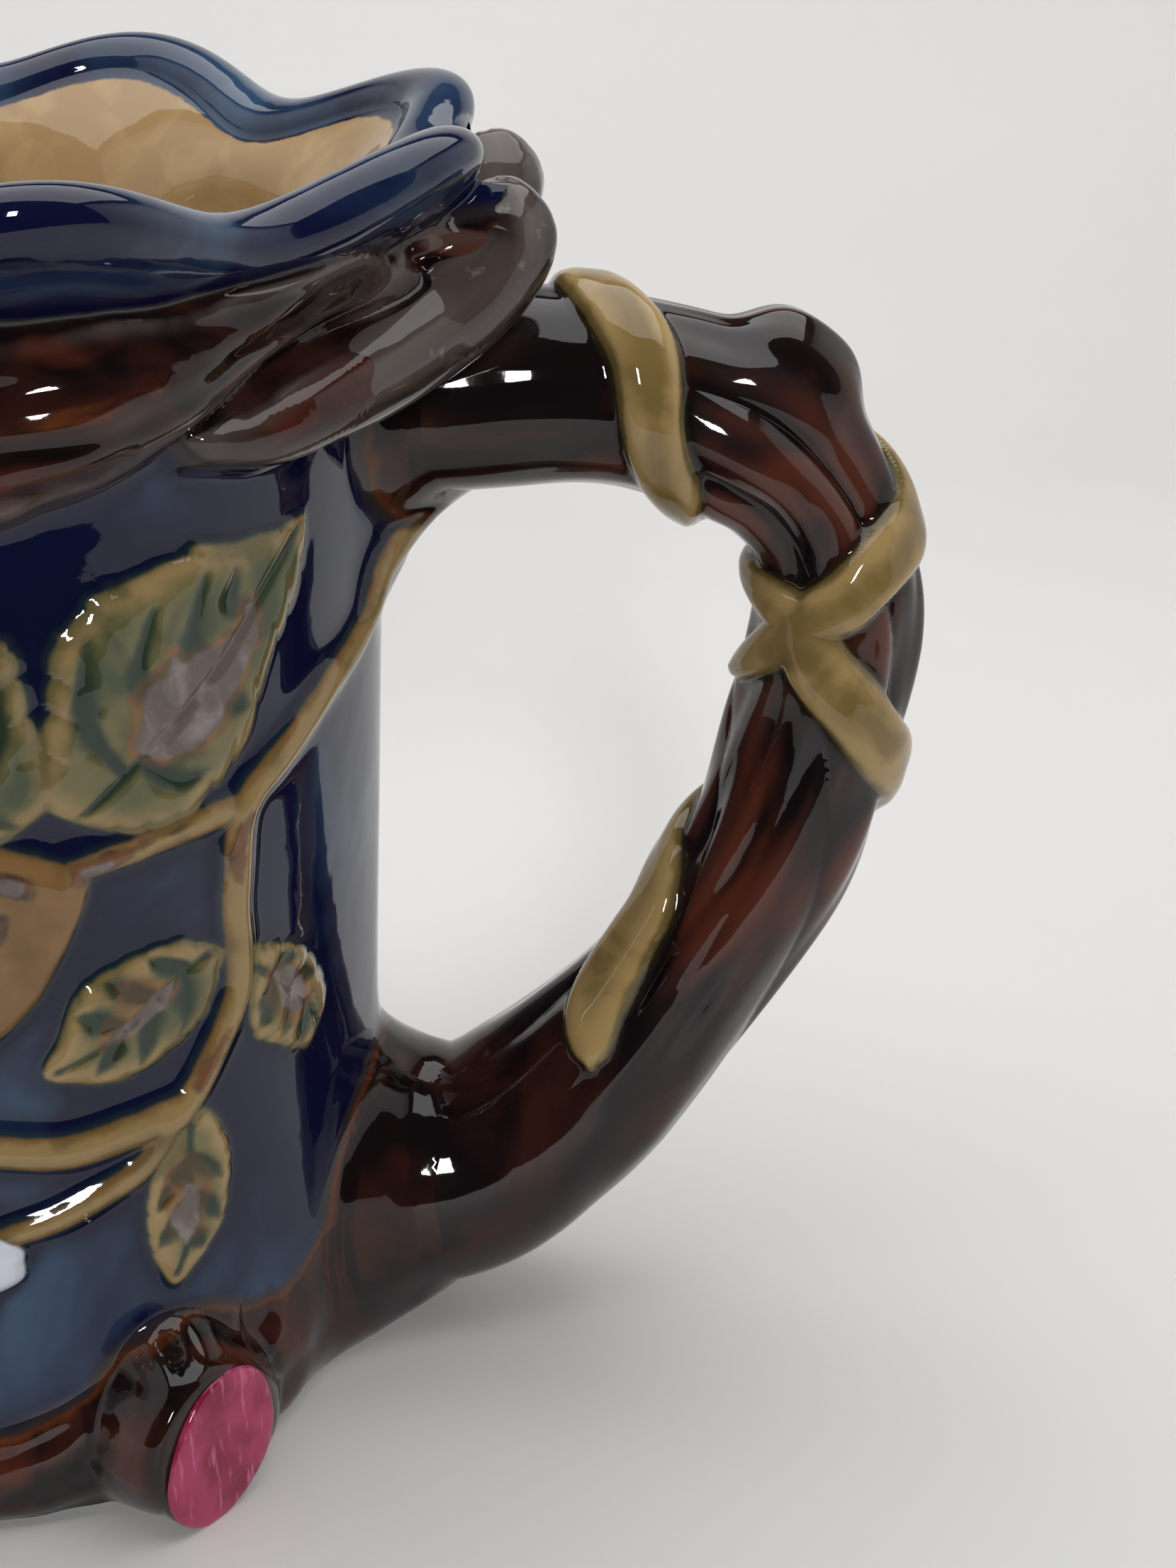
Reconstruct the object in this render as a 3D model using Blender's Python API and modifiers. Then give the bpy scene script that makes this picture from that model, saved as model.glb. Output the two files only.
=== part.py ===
"""A majolica pitcher with a branch handle, cast in one piece and hollow.

Metres, Z up. The origin is on the body's axis at the table, the handle reaches
towards +X and the spout towards -X. Azimuths are degrees about Z from +X; the
side with the fuller relief is the one of negative azimuths.
"""

import math

import bmesh
import bpy
import numpy as np
from mathutils import Matrix, Vector

for leftover in list(bpy.data.objects):
    bpy.data.objects.remove(leftover, do_unlink=True)

# Body sizes
FOOT_RADIUS = 0.0590
BODY_RADIUS_LOW = 0.0622
BODY_RADIUS_HIGH = 0.0692
FOOT_ROUNDING = 0.0100
LOW_HEIGHT = 0.0200
NECK_HEIGHT = 0.1800
WALL_THICKNESS = 0.0050
FLOOR_THICKNESS = 0.0060
FLOOR_ROUNDING = 0.0100
UNDERSIDE_TRIM = 0.0015

# Rim sizes
FLARE_HEIGHT = 0.0200
RIM_HEIGHT = NECK_HEIGHT + FLARE_HEIGHT
RIM_RADIUS = 0.0860
RIM_LOBES = 8
RIM_WAVE_UP = 0.0036
RIM_WAVE_OUT = 0.0050
RIM_TILT = 0.0016
RIM_CLIMB = 0.0040
CLIMB_AZIMUTH = 80.0
LIP_WIDTH = 0.0120
LIP_RISE = 0.0046
LIP_DROP = 0.0020
LIP_BARE = 0.0030
INNER_CURVE = 2.6
INNER_LIFT_CURVE = 1.2
SPOUT_REACH = 0.0170
SPOUT_RISE = 0.0060
SPOUT_HALF_ANGLE = 22.0

# Branch band under the rim
BAND_FILLET = 0.0015
BAND_LIFT_AZIMUTH = 48.0
FAR_KNOT_RISE = 0.0036

# Root ring sizes at the base
ROOT_HEIGHT = 0.0170
ROOT_RELIEF = 0.0032
ROOT_PINCH = 0.0035
STUB_SHOULDER = 0.0080
STUB_HALF_HEIGHT = 0.0132
STUB_HALF_WIDTH = 0.0106
STUB_OVAL_LEAN = 25.0
STUB_REACH = 0.0740
STUB_LENGTH = 0.0130
STUB_HEIGHT = 0.0122
STUB_TURN = 14.0
STUB_EDGE = 0.0007

# Vine, leaf and blossom sizes
VINE_HALF_WIDTH = 0.0029
TWIG_HALF_WIDTH = 0.0021
VINE_RELIEF = 0.0030
LEAF_RELIEF = 0.0022
LEAF_TOOTH = 0.10
BLOSSOM_RADIUS = 0.0125
BLOSSOM_RELIEF = 0.0034

# Handle sizes
HANDLE_GRIP_RADIUS = 0.0140
BARK_RELIEF = 0.0012
KNOT_RELIEF = 0.0052
HANDLE_VINE_HALF_WIDTH = 0.0052
HANDLE_VINE_RELIEF = 0.0030
BUTTRESS_RELIEF = 0.0050
BUTTRESS_FOOT = 0.1260
BUTTRESS_RUN = 0.0150
WALL_RIDGE_RELIEF = 0.0018

# Depth of the cutter that trims the underside
TABLE_DEPTH = 0.0500

# Steps round the body, and facet counts kept after thinning
BODY_STEPS = 300
BODY_FACETS = 5900
HANDLE_FACETS = 1900
KNOT_FACETS = 220

# The unit of the tables below, a share of the neck's height: 1 mm at this size
CARVING_UNIT = NECK_HEIGHT / 180

# Paths on the body: azimuth in degrees and height in carving units
MAIN_VINE = (
    (-0.5, 158), (-1, 150), (-3, 144.5), (-7.5, 141.5), (-11, 138), (-13.5, 132.5), (-18.5, 128.8),
    (-27, 125), (-36.7, 118.5), (-41.6, 115.2),
    (-43.9, 110.9), (-44.7, 102.8), (-45.1, 96.8), (-44.8, 90.7), (-45.4, 83.5), (-49.4, 75.3),
    (-53.6, 68.8), (-57.5, 66),
)
LEAF_STALK = ((-42.5, 113.6), (-47.8, 113.5), (-54, 112.8), (-61, 111.7), (-66, 110.5), (-70, 116))
UPPER_STRAND = ((-55.5, 67.5), (-62, 66.8), (-70.4, 66), (-79, 68), (-90, 71), (-101, 77), (-110, 87))
LOWER_STRAND = ((-56.5, 65.5), (-60.5, 60.4), (-66, 57.4), (-72.1, 54.8), (-79, 53), (-86, 50))
FAR_VINE = (
    (3, 152), (5, 143), (9, 135), (18, 129), (28, 124), (37, 117), (43, 106), (45, 94), (48, 82),
    (54, 72), (63, 65), (74, 60), (84, 55),
)
FAR_STALK = ((37, 117), (46, 113), (56, 113), (67, 115))

# Each leaf: azimuth and height of its base and of its tip, half width, teeth on a side
LEAVES = (
    ((-68.0, 118.5), (-30.4, 153.5), 17.0, 9),
    ((-70.5, 118.5), (-108.0, 153.0), 17.0, 9),
    ((-66.0, 112.0), (-92.0, 85.0), 12.0, 0),
    ((-46.5, 91.5), (-72.6, 78.6), 8.4, 6),
    ((-43.6, 86.5), (-26.6, 70.5), 8.8, 6),
    ((-51.6, 67.5), (-56.8, 36.5), 7.0, 6),
    ((-108.0, 86.0), (-128.0, 104.0), 8.4, 6),
    ((66.0, 116.0), (98.0, 150.0), 16.0, 9),
    ((46.0, 90.0), (72.0, 79.0), 8.4, 6),
)

# Each blossom: azimuth and height of its middle
BLOSSOMS = ((-88.0, 49.5), (87.0, 52.0))

# Branches of the band: azimuth, then height, half width and relief, along each one
BAND_BRANCHES = (
    ((-180, 173, 9, 7), (-150, 172, 9, 8), (-120, 176, 9, 8), (-95, 180, 9, 8), (-75, 180, 8, 8),
     (-60, 180, 8, 8), (-48, 183, 8, 8), (-38, 186.5, 8.5, 9), (-30, 187, 8.5, 10)),
    ((-140, 178, 6, 5), (-115, 171, 7, 7), (-95, 168, 8, 8), (-78, 168, 8, 8), (-64, 170, 8, 8),
     (-52, 174, 7, 7), (-42, 179, 5, 6)),
    ((-50, 168.5, 2, 3), (-43, 168.5, 6, 7), (-34, 170, 8, 9.5), (-24, 174.5, 10, 11.5),
     (-12, 181, 12, 13), (0, 184, 12, 13)),
    ((180, 173, 9, 7), (150, 174, 9, 8), (120, 175, 9, 8), (90, 177, 9, 8), (66, 180, 8, 8),
     (46, 184, 8, 8), (31, 187, 8.5, 9)),
    ((110, 168, 6, 6), (80, 169, 7, 7), (55, 170, 7, 8), (34, 171, 8, 9.5), (22, 175, 10, 11.5),
     (12, 181, 12, 13), (0, 184, 12, 13)),
)

# Stub middles around the base in degrees, and how far each one turns from straight out
STUBS = ((-56.0, 1), (58.0, -1), (-128.0, -1), (132.0, 1))

# Handle centreline from the upper joint to the root: x, z and radius
HANDLE_LINE = (
    (66, 163, 17.0), (80, 163.3, 15.8), (94, 163.8, 15.2), (106, 163.0, 14.8), (117, 160.4, 14.6),
    (127, 155.9, 14.9), (135, 149.0, 13.2), (140.4, 139.5, 12.1), (142.2, 128.0, 13.2),
    (141.2, 114.5, 13.7), (138.4, 101.3, 13.8), (133.4, 86.4, 13.8), (126.1, 72.6, 13.8),
    (117.0, 59.2, 14.7), (106.4, 46.8, 16.4), (94.4, 35.0, 18.3), (80.5, 26.0, 20.4), (62.0, 23.5, 22.0),
)

# Blunt ends of the band's branches, which bulge over the handle: x, distance to the side, z and radius
KNOT_LINE = (
    (48.7, 51.0, 168.1, 2.2), (54.6, 46.9, 169.2, 4.8), (62.0, 39.4, 171.2, 6.2), (69.0, 29.5, 173.8, 7.8),
    (76.2, 20.6, 177.6, 9.1), (82.3, 17.0, 182.2, 9.6), (86.0, 14.6, 186.4, 9.5), (87.6, 13.6, 189.4, 8.9),
    (88.3, 13.2, 192.4, 7.5), (88.6, 13.0, 195.0, 5.2), (88.7, 12.9, 196.6, 3.0),
)
KNOT_BEND_HEIGHT = 172
KNOT_BEND_RUN = 12

# Vines on the handle: part of its length, and turn in degrees from its outer side towards -Y
HANDLE_VINES = (
    ((0.120, -170), (0.132, -120), (0.142, -60), (0.152, -9), (0.164, 20), (0.184, 51), (0.194, 75),
     (0.203, 99), (0.222, 123), (0.250, 147), (0.285, 182), (0.318, 225), (0.350, 275), (0.385, 325),
     (0.414, 366), (0.427, 411), (0.439, 435), (0.452, 453), (0.462, 468), (0.479, 486), (0.505, 512),
     (0.540, 550)),
    ((0.415, 235), (0.430, 185), (0.461, 135), (0.482, 121), (0.508, 105), (0.531, 81), (0.556, 54),
     (0.578, 18), (0.600, -20), (0.625, -70), (0.655, -120), (0.690, -170), (0.718, -196), (0.746, -204),
     (0.776, -213), (0.801, -225), (0.824, -246)),
)


def on_body(path):
    """Rows of azimuth and height as rows of arc length and height in metres."""
    points = np.array(path, float)
    return np.column_stack([arc_length(np.radians(points[:, 0])), points[:, 1] * CARVING_UNIT])


def arc_length(azimuth):
    """Arc length round the body at its middle radius."""
    return azimuth * 0.5 * (BODY_RADIUS_LOW + BODY_RADIUS_HIGH)


def through(points, count):
    """Points of a smooth curve through the given ones (Catmull and Rom's cubic pieces)."""
    knots = np.asarray(points, float)
    ends = np.vstack([2 * knots[0] - knots[1], knots, 2 * knots[-1] - knots[-2]])
    place = np.linspace(0, len(knots) - 1.000001, count)
    piece = place.astype(int)
    t = (place - piece)[:, None]
    a, b, c, d = ends[piece], ends[piece + 1], ends[piece + 2], ends[piece + 3]
    return 0.5 * (
        2 * b + (c - a) * t + (2 * a - 5 * b + 4 * c - d) * t ** 2 + (3 * b - a - 3 * c + d) * t ** 3
    )


def path_distance(x, y, points, values):
    """Distance from every (x, y) to a path, and the path's own values at the nearest place."""
    best = np.full(x.shape, 1e9)
    found = [np.zeros(x.shape) for _ in range(values.shape[1])]
    for k in range(len(points) - 1):
        start = points[k]
        step = points[k + 1] - start
        t = ((x - start[0]) * step[0] + (y - start[1]) * step[1]) / (step @ step)
        t = np.clip(t, 0, 1)
        gap = np.hypot(x - start[0] - t * step[0], y - start[1] - t * step[1])
        nearer = gap < best
        best = np.where(nearer, gap, best)
        for n in range(values.shape[1]):
            here = values[k, n] + t * (values[k + 1, n] - values[k, n])
            found[n] = np.where(nearer, here, found[n])
    return best, found


def ridge(distance, half_width, height):
    """A rounded ridge: half an ellipse across, nothing beyond the half width."""
    return height * np.sqrt(np.clip(1 - (distance / half_width) ** 2, 0, None))


def blend(a, b, softness):
    """The greater of two heights, joined by a small fillet."""
    gap = np.abs(a - b)
    return np.maximum(a, b) + np.clip(softness - gap, 0, None) ** 2 / (4 * softness)


def vine_height(azimuth, height, path, half_width):
    points = through(on_body(path), 4 * len(path))
    taper = np.linspace(1.0, 0.75, len(points))[:, None]
    gap, (scale,) = path_distance(arc_length(azimuth), height, points, taper)
    return ridge(gap, half_width * scale, VINE_RELIEF)


def leaf_height(azimuth, height, base, tip, half_width, teeth):
    """A pointed leaf with a toothed edge, a sunk midrib and sunk curved side veins."""
    ends = on_body([base, tip])
    axis = ends[1] - ends[0]
    length = math.hypot(*axis)
    axis = axis / length
    x = arc_length(azimuth) - ends[0, 0]
    y = height - ends[0, 1]
    along = (x * axis[0] + y * axis[1]) / length
    across = (y * axis[0] - x * axis[1]) / (half_width * CARVING_UNIT)
    t = np.clip(along, 0, 1)
    outline = np.sin(math.pi * t ** 0.74) ** 0.72
    tooth = (t * teeth + 0.25 * np.abs(across)) % 1.0
    outline = outline * (1 + LEAF_TOOTH * (tooth - 0.5)) * (along > 0) * (along < 1)
    q = np.abs(across) / np.maximum(outline, 1e-4)
    plate = np.clip(1 - q ** 5, 0, None) ** 0.5 * (1 - 0.25 * q)
    midrib = 0.30 * np.exp(-((across * half_width / 0.9) ** 2))
    side = 0.16 * np.cos(2 * math.pi * (t * 5.5 - 0.55 * np.abs(across))) * np.clip(q * (1.3 - q), 0, 1)
    return LEAF_RELIEF * np.where(q < 1, plate * (1 - midrib + side), 0)


def blossom_height(azimuth, height, middle):
    """Five rounded petals round a small boss."""
    centre = on_body([middle])[0]
    x = arc_length(azimuth) - centre[0]
    y = height - centre[1]
    radius = np.hypot(x, y) / BLOSSOM_RADIUS
    turn = np.arctan2(y, x)
    petal = np.abs(np.cos(2.5 * turn)) ** 0.6
    outline = 0.62 + 0.38 * petal
    q = radius / outline
    petals = np.clip(1 - q ** 4, 0, None) ** 0.5 * (0.55 + 0.45 * petal * np.clip(2 * q, 0, 1))
    boss = np.sqrt(np.clip(1 - (radius / 0.24) ** 2, 0, None))
    return BLOSSOM_RELIEF * np.maximum(petals, boss)


def band_height(azimuth, height):
    """The branches that lie round the neck, the greatest of their rounded ridges."""
    total = np.zeros(azimuth.shape)
    for branch in BAND_BRANCHES:
        rows = through(branch, 8 * len(branch))
        sizes = rows[:, 2:] * CARVING_UNIT
        gap, (half_width, rise) = path_distance(arc_length(azimuth), height, on_body(rows[:, :2]), sizes)
        bark = 1 + 0.06 * np.cos(gap / half_width * 7.0 + 9.0 * azimuth)
        joined = blend(total, ridge(gap, half_width, rise * bark), BAND_FILLET)
        total = np.where((total > 0) | (gap < half_width), joined, 0)
    return total


def root_top(azimuth):
    """Height of the root ring's upper edge, rising at each stub and at the handle."""
    turn = np.degrees(azimuth)
    top = ROOT_HEIGHT + 33 * CARVING_UNIT * np.exp(-((turn / 30.0) ** 2))
    for place, _ in STUBS:
        top = top + 10 * CARVING_UNIT * np.exp(-(((turn - place) / 15.0) ** 2))
    return top + 1.2 * CARVING_UNIT * np.sin(5 * azimuth + 0.6)


def root_height(azimuth, height):
    """The swollen root ring at the base with bark ridges that run round it."""
    turn = np.degrees(azimuth)
    top = root_top(azimuth)
    swell = ROOT_RELIEF + 3.5 * CARVING_UNIT * np.exp(-((turn / 22.0) ** 2))
    for place, _ in STUBS:
        swell = swell + STUB_SHOULDER * np.exp(-(((np.abs(turn - place) - 8.0) / 7.0) ** 2))
    swell = swell - ROOT_PINCH * np.exp(-(((np.abs(turn) - 27.0) / 9.0) ** 2))
    level = (height - 0.38 * top) / (0.62 * top)
    bark = 1 + 0.10 * np.cos(9.0 * level + 3.0 * np.sin(3 * azimuth))
    return swell * bark * np.sqrt(np.clip(1 - np.clip(level, -0.45, 1) ** 2, 0, None))


def smooth_step(share):
    """0 below 0, 1 above 1, and an S-shaped rise between them."""
    share = np.clip(share, 0, 1)
    return share ** 2 * (3 - 2 * share)


def wall_ridge(azimuth, height):
    """The upright ridge that the wall has under the handle's upper joint, and the buttress at its top."""
    turn = np.degrees(azimuth)
    below_band = np.clip((NECK_HEIGHT - 2 * CARVING_UNIT - height) / (8 * CARVING_UNIT), 0, 1)
    buttress = BUTTRESS_RELIEF * smooth_step((height - BUTTRESS_FOOT) / BUTTRESS_RUN) * np.exp(-((turn / 10) ** 2))
    return below_band * (buttress + WALL_RIDGE_RELIEF * np.exp(-((turn / 13) ** 2)))


def relief(azimuth, height):
    """Height of all the carving above the plain outer wall."""
    total = root_height(azimuth, height)
    past_handle = np.clip((np.abs(np.degrees(azimuth)) - BAND_LIFT_AZIMUTH) / 12, 0, 1)
    flared = np.maximum(wall_radius(height) - BODY_RADIUS_HIGH, 0) * (height > NECK_HEIGHT)
    total = np.maximum(total, band_height(azimuth, height) - past_handle * flared)
    for path, half_width in (
        (MAIN_VINE, VINE_HALF_WIDTH), (FAR_VINE, VINE_HALF_WIDTH), (LEAF_STALK, TWIG_HALF_WIDTH),
        (UPPER_STRAND, VINE_HALF_WIDTH), (LOWER_STRAND, TWIG_HALF_WIDTH), (FAR_STALK, TWIG_HALF_WIDTH),
    ):
        total = np.maximum(total, vine_height(azimuth, height, path, half_width))
    for base, tip, half_width, teeth in LEAVES:
        total = np.maximum(total, leaf_height(azimuth, height, base, tip, half_width, teeth))
    for middle in BLOSSOMS:
        total = np.maximum(total, blossom_height(azimuth, height, middle))
    return total + wall_ridge(azimuth, height)


def rim_wave(azimuth):
    """How far the lip moves outward and upward: even lobes, and the spout drawn out opposite the handle."""
    turn = np.degrees(azimuth)
    spout = np.exp(-(((180 - np.abs(turn)) / SPOUT_HALF_ANGLE) ** 2))
    leaning = 3 * np.exp(-(((turn - 75) / 20) ** 2))
    wave = -np.cos(RIM_LOBES * np.radians(turn - leaning)) * (1 - spout)
    climb = RIM_CLIMB / (1 + np.exp((CLIMB_AZIMUTH - np.abs(turn)) / 9))
    tilt = RIM_TILT * np.sin(azimuth) * (1 - spout)
    return RIM_WAVE_OUT * wave + SPOUT_REACH * spout, RIM_WAVE_UP * wave + SPOUT_RISE * spout + tilt + climb


def flare(height):
    """Nothing up to the neck, then an S-shaped step to 1 at the lip's outer edge."""
    return smooth_step((height - NECK_HEIGHT) / FLARE_HEIGHT)


def wall_radius(height):
    """Radius of the plain outer wall, from the rounded foot to the flared lip."""
    rise = (height - LOW_HEIGHT) / (NECK_HEIGHT - LOW_HEIGHT)
    side = BODY_RADIUS_LOW + (BODY_RADIUS_HIGH - BODY_RADIUS_LOW) * np.minimum(rise, 1)
    low = np.clip(1 - height / FOOT_ROUNDING, 0, 1)
    side = side - (BODY_RADIUS_LOW - FOOT_RADIUS) * low ** 2
    return side + (RIM_RADIUS - side) * flare(height)


def inner_radius(height):
    """Radius of the inner wall, which meets the lip's inner edge."""
    side = wall_radius(np.minimum(height, NECK_HEIGHT)) - WALL_THICKNESS
    share = np.clip((height - NECK_HEIGHT) / (FLARE_HEIGHT - LIP_DROP), 0, 1)
    return side + (RIM_RADIUS - LIP_WIDTH - side) * share ** INNER_CURVE


def body_profile():
    """Radius and height from the floor's middle up the inside, over the lip and down the outside."""
    floor_edge = inner_radius(FLOOR_THICKNESS + FLOOR_ROUNDING) - FLOOR_ROUNDING
    points = [(0.0, FLOOR_THICKNESS), (0.5 * floor_edge, FLOOR_THICKNESS)]
    for turn in np.radians([0, 25, 50, 75]):
        up = FLOOR_THICKNESS + FLOOR_ROUNDING * (1 - math.cos(turn))
        points.append((floor_edge + FLOOR_ROUNDING * math.sin(turn), up))
    for up in np.linspace(FLOOR_THICKNESS + FLOOR_ROUNDING, NECK_HEIGHT, 14):
        points.append((inner_radius(up), up))
    for up in np.linspace(NECK_HEIGHT, RIM_HEIGHT - LIP_DROP, 12)[1:]:
        points.append((inner_radius(up), up))
    for turn in np.radians([155, 130, 105, 80, 55, 30]):
        outward = RIM_RADIUS - 0.5 * LIP_WIDTH * (1 - math.cos(turn))
        points.append((outward, RIM_HEIGHT - 0.5 * LIP_DROP * (1 - math.cos(turn)) + LIP_RISE * math.sin(turn)))
    for up in np.linspace(RIM_HEIGHT, -UNDERSIDE_TRIM, 170):
        points.append((wall_radius(up), up))
    return points + [(0.5 * FOOT_RADIUS, -UNDERSIDE_TRIM), (0.0, -UNDERSIDE_TRIM)]


def points_of(thing):
    flat = np.empty(3 * len(thing.data.vertices))
    thing.data.vertices.foreach_get("co", flat)
    return flat.reshape(-1, 3)


def move_points(thing, points):
    thing.data.vertices.foreach_set("co", points.ravel())
    thing.data.update()


def closed(thing):
    """Weld the caps of a mesh and turn its faces outward."""
    shape = bmesh.new()
    shape.from_mesh(thing.data)
    bmesh.ops.remove_doubles(shape, verts=shape.verts, dist=1e-6)
    bmesh.ops.triangulate(shape, faces=shape.faces)
    bmesh.ops.recalc_face_normals(shape, faces=shape.faces)
    shape.to_mesh(thing.data)
    shape.free()


def settle(thing):
    """Replace an object's mesh with the outcome of its modifiers."""
    bpy.context.view_layer.update()
    seen = thing.evaluated_get(bpy.context.evaluated_depsgraph_get())
    mesh = bpy.data.meshes.new_from_object(seen)
    thing.modifiers.clear()
    thing.data = mesh


def thin(thing, facets):
    """Thin a mesh to about the given number of triangles."""
    fewer = thing.modifiers.new("thin", "DECIMATE")
    fewer.ratio = min(1.0, facets / len(thing.data.polygons))
    settle(thing)


def combine(thing, other, operation):
    joint = thing.modifiers.new(operation.lower(), "BOOLEAN")
    joint.operation = operation
    joint.solver = "EXACT"
    joint.object = other
    settle(thing)


def branch(name, line, sides):
    """A round branch along rows of x, y, z and radius: a bevelled curve with filled caps, made a mesh."""
    curve = bpy.data.curves.new(name, "CURVE")
    curve.dimensions = "3D"
    curve.bevel_depth = 1.0
    curve.bevel_resolution = (sides - 4) // 2
    curve.use_fill_caps = True
    spline = curve.splines.new("POLY")
    spline.points.add(len(line) - 1)
    for point, row in zip(spline.points, line):
        point.co = (row[0], row[1], row[2], 1.0)
        point.radius = row[3]
    guide = bpy.data.objects.new(name, curve)
    cutters.objects.link(guide)
    bpy.context.view_layer.update()
    mesh = bpy.data.meshes.new_from_object(guide.evaluated_get(bpy.context.evaluated_depsgraph_get()))
    bpy.data.objects.remove(guide)
    thing = bpy.data.objects.new(name, mesh)
    cutters.objects.link(thing)
    closed(thing)
    return thing


def handle_surface(part, turn, length):
    """Bark ridges along the handle, its knot, and the vines wound round it."""
    along = part * length
    around = (turn + math.pi) % (2 * math.pi) - math.pi
    bark = 0.55 * np.cos(3 * turn + 2.2 * np.sin(11 * part) + 5 * part) + 0.45 * np.cos(5 * turn - 13 * part)
    knot = np.exp(-(((part - 0.298) / 0.040) ** 4) - (around / 0.70) ** 2)
    total = BARK_RELIEF * bark + KNOT_RELIEF * knot
    for vine in HANDLE_VINES:
        line = through(vine, 70)
        taper = (1.02 - np.abs(np.linspace(-1, 1, len(line))) ** 8)[:, None] ** 0.5
        raised = np.zeros(part.shape)
        for shift in (-2 * math.pi, 0, 2 * math.pi):
            points = np.column_stack(
                [line[:, 0] * length, (np.radians(line[:, 1]) + shift) * HANDLE_GRIP_RADIUS]
            )
            gap, (scale,) = path_distance(along, around * HANDLE_GRIP_RADIUS, points, taper)
            raised = np.maximum(raised, ridge(gap, HANDLE_VINE_HALF_WIDTH * scale, HANDLE_VINE_RELIEF))
        total = np.maximum(total, raised)
    return total


parts = bpy.data.collections.new("Majolica pitcher")
cutters = bpy.data.collections.new("Cutters")
bpy.context.scene.collection.children.link(parts)
bpy.context.scene.collection.children.link(cutters)

# Body: the section is turned, the lip is waved, then the carving is raised from the outer wall
profile = bpy.data.meshes.new("pitcher")
profile_points = [(radius, 0.0, up) for radius, up in body_profile()]
profile.from_pydata(profile_points, [(k, k + 1) for k in range(len(profile_points) - 1)], [])
pitcher = bpy.data.objects.new("pitcher", profile)
parts.objects.link(pitcher)
turned = pitcher.modifiers.new("turned section", "SCREW")
turned.steps = BODY_STEPS
turned.render_steps = BODY_STEPS
turned.use_merge_vertices = True
turned.merge_threshold = 0.00001
settle(pitcher)
closed(pitcher)

places = points_of(pitcher)
azimuths = np.arctan2(places[:, 1], places[:, 0])
radii = np.hypot(places[:, 0], places[:, 1])
heights = places[:, 2]
outside = radii > 0.5 * (wall_radius(heights) + inner_radius(heights))
out, up = rim_wave(azimuths)
inner_lift = np.clip((heights - NECK_HEIGHT) / (FLARE_HEIGHT - LIP_DROP), 0, 1) ** INNER_LIFT_CURVE
lift = np.where(outside, flare(heights), inner_lift)
lift = np.where(heights > RIM_HEIGHT - LIP_DROP, 1.0, lift)
below_lip = np.clip((RIM_HEIGHT - LIP_BARE - heights) / LIP_BARE, 0, 1)
raised = np.where(outside & (radii > 0.9 * FOOT_RADIUS), relief(azimuths, heights) * below_lip, 0)
radii = radii + out * lift + raised
move_points(pitcher, np.column_stack([radii * np.cos(azimuths), radii * np.sin(azimuths), heights + up * lift]))
thin(pitcher, BODY_FACETS)

# Handle: a branch in the plane of X and Z, with bark and vines raised from it
line = through(HANDLE_LINE, 150) * CARVING_UNIT
handle = branch("handle branch", [(x, 0.0, z, radius) for x, z, radius in line], 56)
places = points_of(handle)
nearest = np.argmin(np.hypot(places[:, :1] - line[:, 0], places[:, 2:] - line[:, 1]), axis=1)
direction = np.gradient(line[:, :2], axis=0)
direction = direction / np.linalg.norm(direction, axis=1)[:, None]
outward = np.column_stack([-direction[:, 1], direction[:, 0]])[nearest]
middle = line[nearest, :2]
off_middle = np.sum((places[:, [0, 2]] - middle) * outward, axis=1)
turns = np.arctan2(-places[:, 1], off_middle)
length = np.sum(np.linalg.norm(np.diff(line[:, :2], axis=0), axis=1))
raised = handle_surface(nearest / (len(line) - 1), turns, length)
inside = np.hypot(places[:, 1], off_middle) < 0.9 * line[nearest, 2]
raised = np.where(inside, 0, raised)
places[:, 1] = places[:, 1] - raised * np.sin(turns)
places[:, [0, 2]] = places[:, [0, 2]] + (raised * np.cos(turns))[:, None] * outward
move_points(handle, places)
thin(handle, HANDLE_FACETS)

# Knots where the band's branches meet over the handle
knots = []
for side, rise in ((-1, 0.0), (1, FAR_KNOT_RISE)):
    rows = through(KNOT_LINE, 44)
    lifted = smooth_step((rows[:, 2] - KNOT_BEND_HEIGHT) / KNOT_BEND_RUN) * rise
    rows = rows * CARVING_UNIT
    knot_line = np.column_stack([rows[:, 0], side * rows[:, 1], rows[:, 2] + lifted, rows[:, 3]])
    knot = branch("rim knot", knot_line, 28)
    thin(knot, KNOT_FACETS)
    knots.append(knot)

# Lopped stubs round the base, oval and leaning in their own cut plane
stubs = []
for place, lean in STUBS:
    middle = math.radians(place)
    facing = middle + math.radians(STUB_TURN * lean)
    out = Vector((math.cos(facing), math.sin(facing), 0.0))
    aside = Vector((-math.sin(facing), math.cos(facing), 0.0))
    end = Vector((STUB_REACH * math.cos(middle), STUB_REACH * math.sin(middle), STUB_HEIGHT))
    tilt = math.radians(STUB_OVAL_LEAN * lean)
    tall = Vector((0.0, 0.0, 1.0)) * math.cos(tilt) + aside * math.sin(tilt)
    wide = tall.cross(out)
    bpy.ops.mesh.primitive_cylinder_add(vertices=26, radius=1.0, depth=STUB_LENGTH)
    stub = bpy.context.object
    stub.name = "lopped stub"
    stub.data.transform(Matrix.Diagonal((STUB_HALF_WIDTH, STUB_HALF_HEIGHT, 1.0, 1.0)))
    axes = Matrix((wide, tall, out)).transposed().to_4x4()
    stub.data.transform(Matrix.Translation(end - 0.5 * STUB_LENGTH * out) @ axes)
    for home in list(stub.users_collection):
        home.objects.unlink(stub)
    cutters.objects.link(stub)
    edge = stub.modifiers.new("worn edge", "BEVEL")
    edge.width = STUB_EDGE
    edge.segments = 1
    edge.limit_method = "ANGLE"
    settle(stub)
    closed(stub)
    stubs.append(stub)

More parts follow.
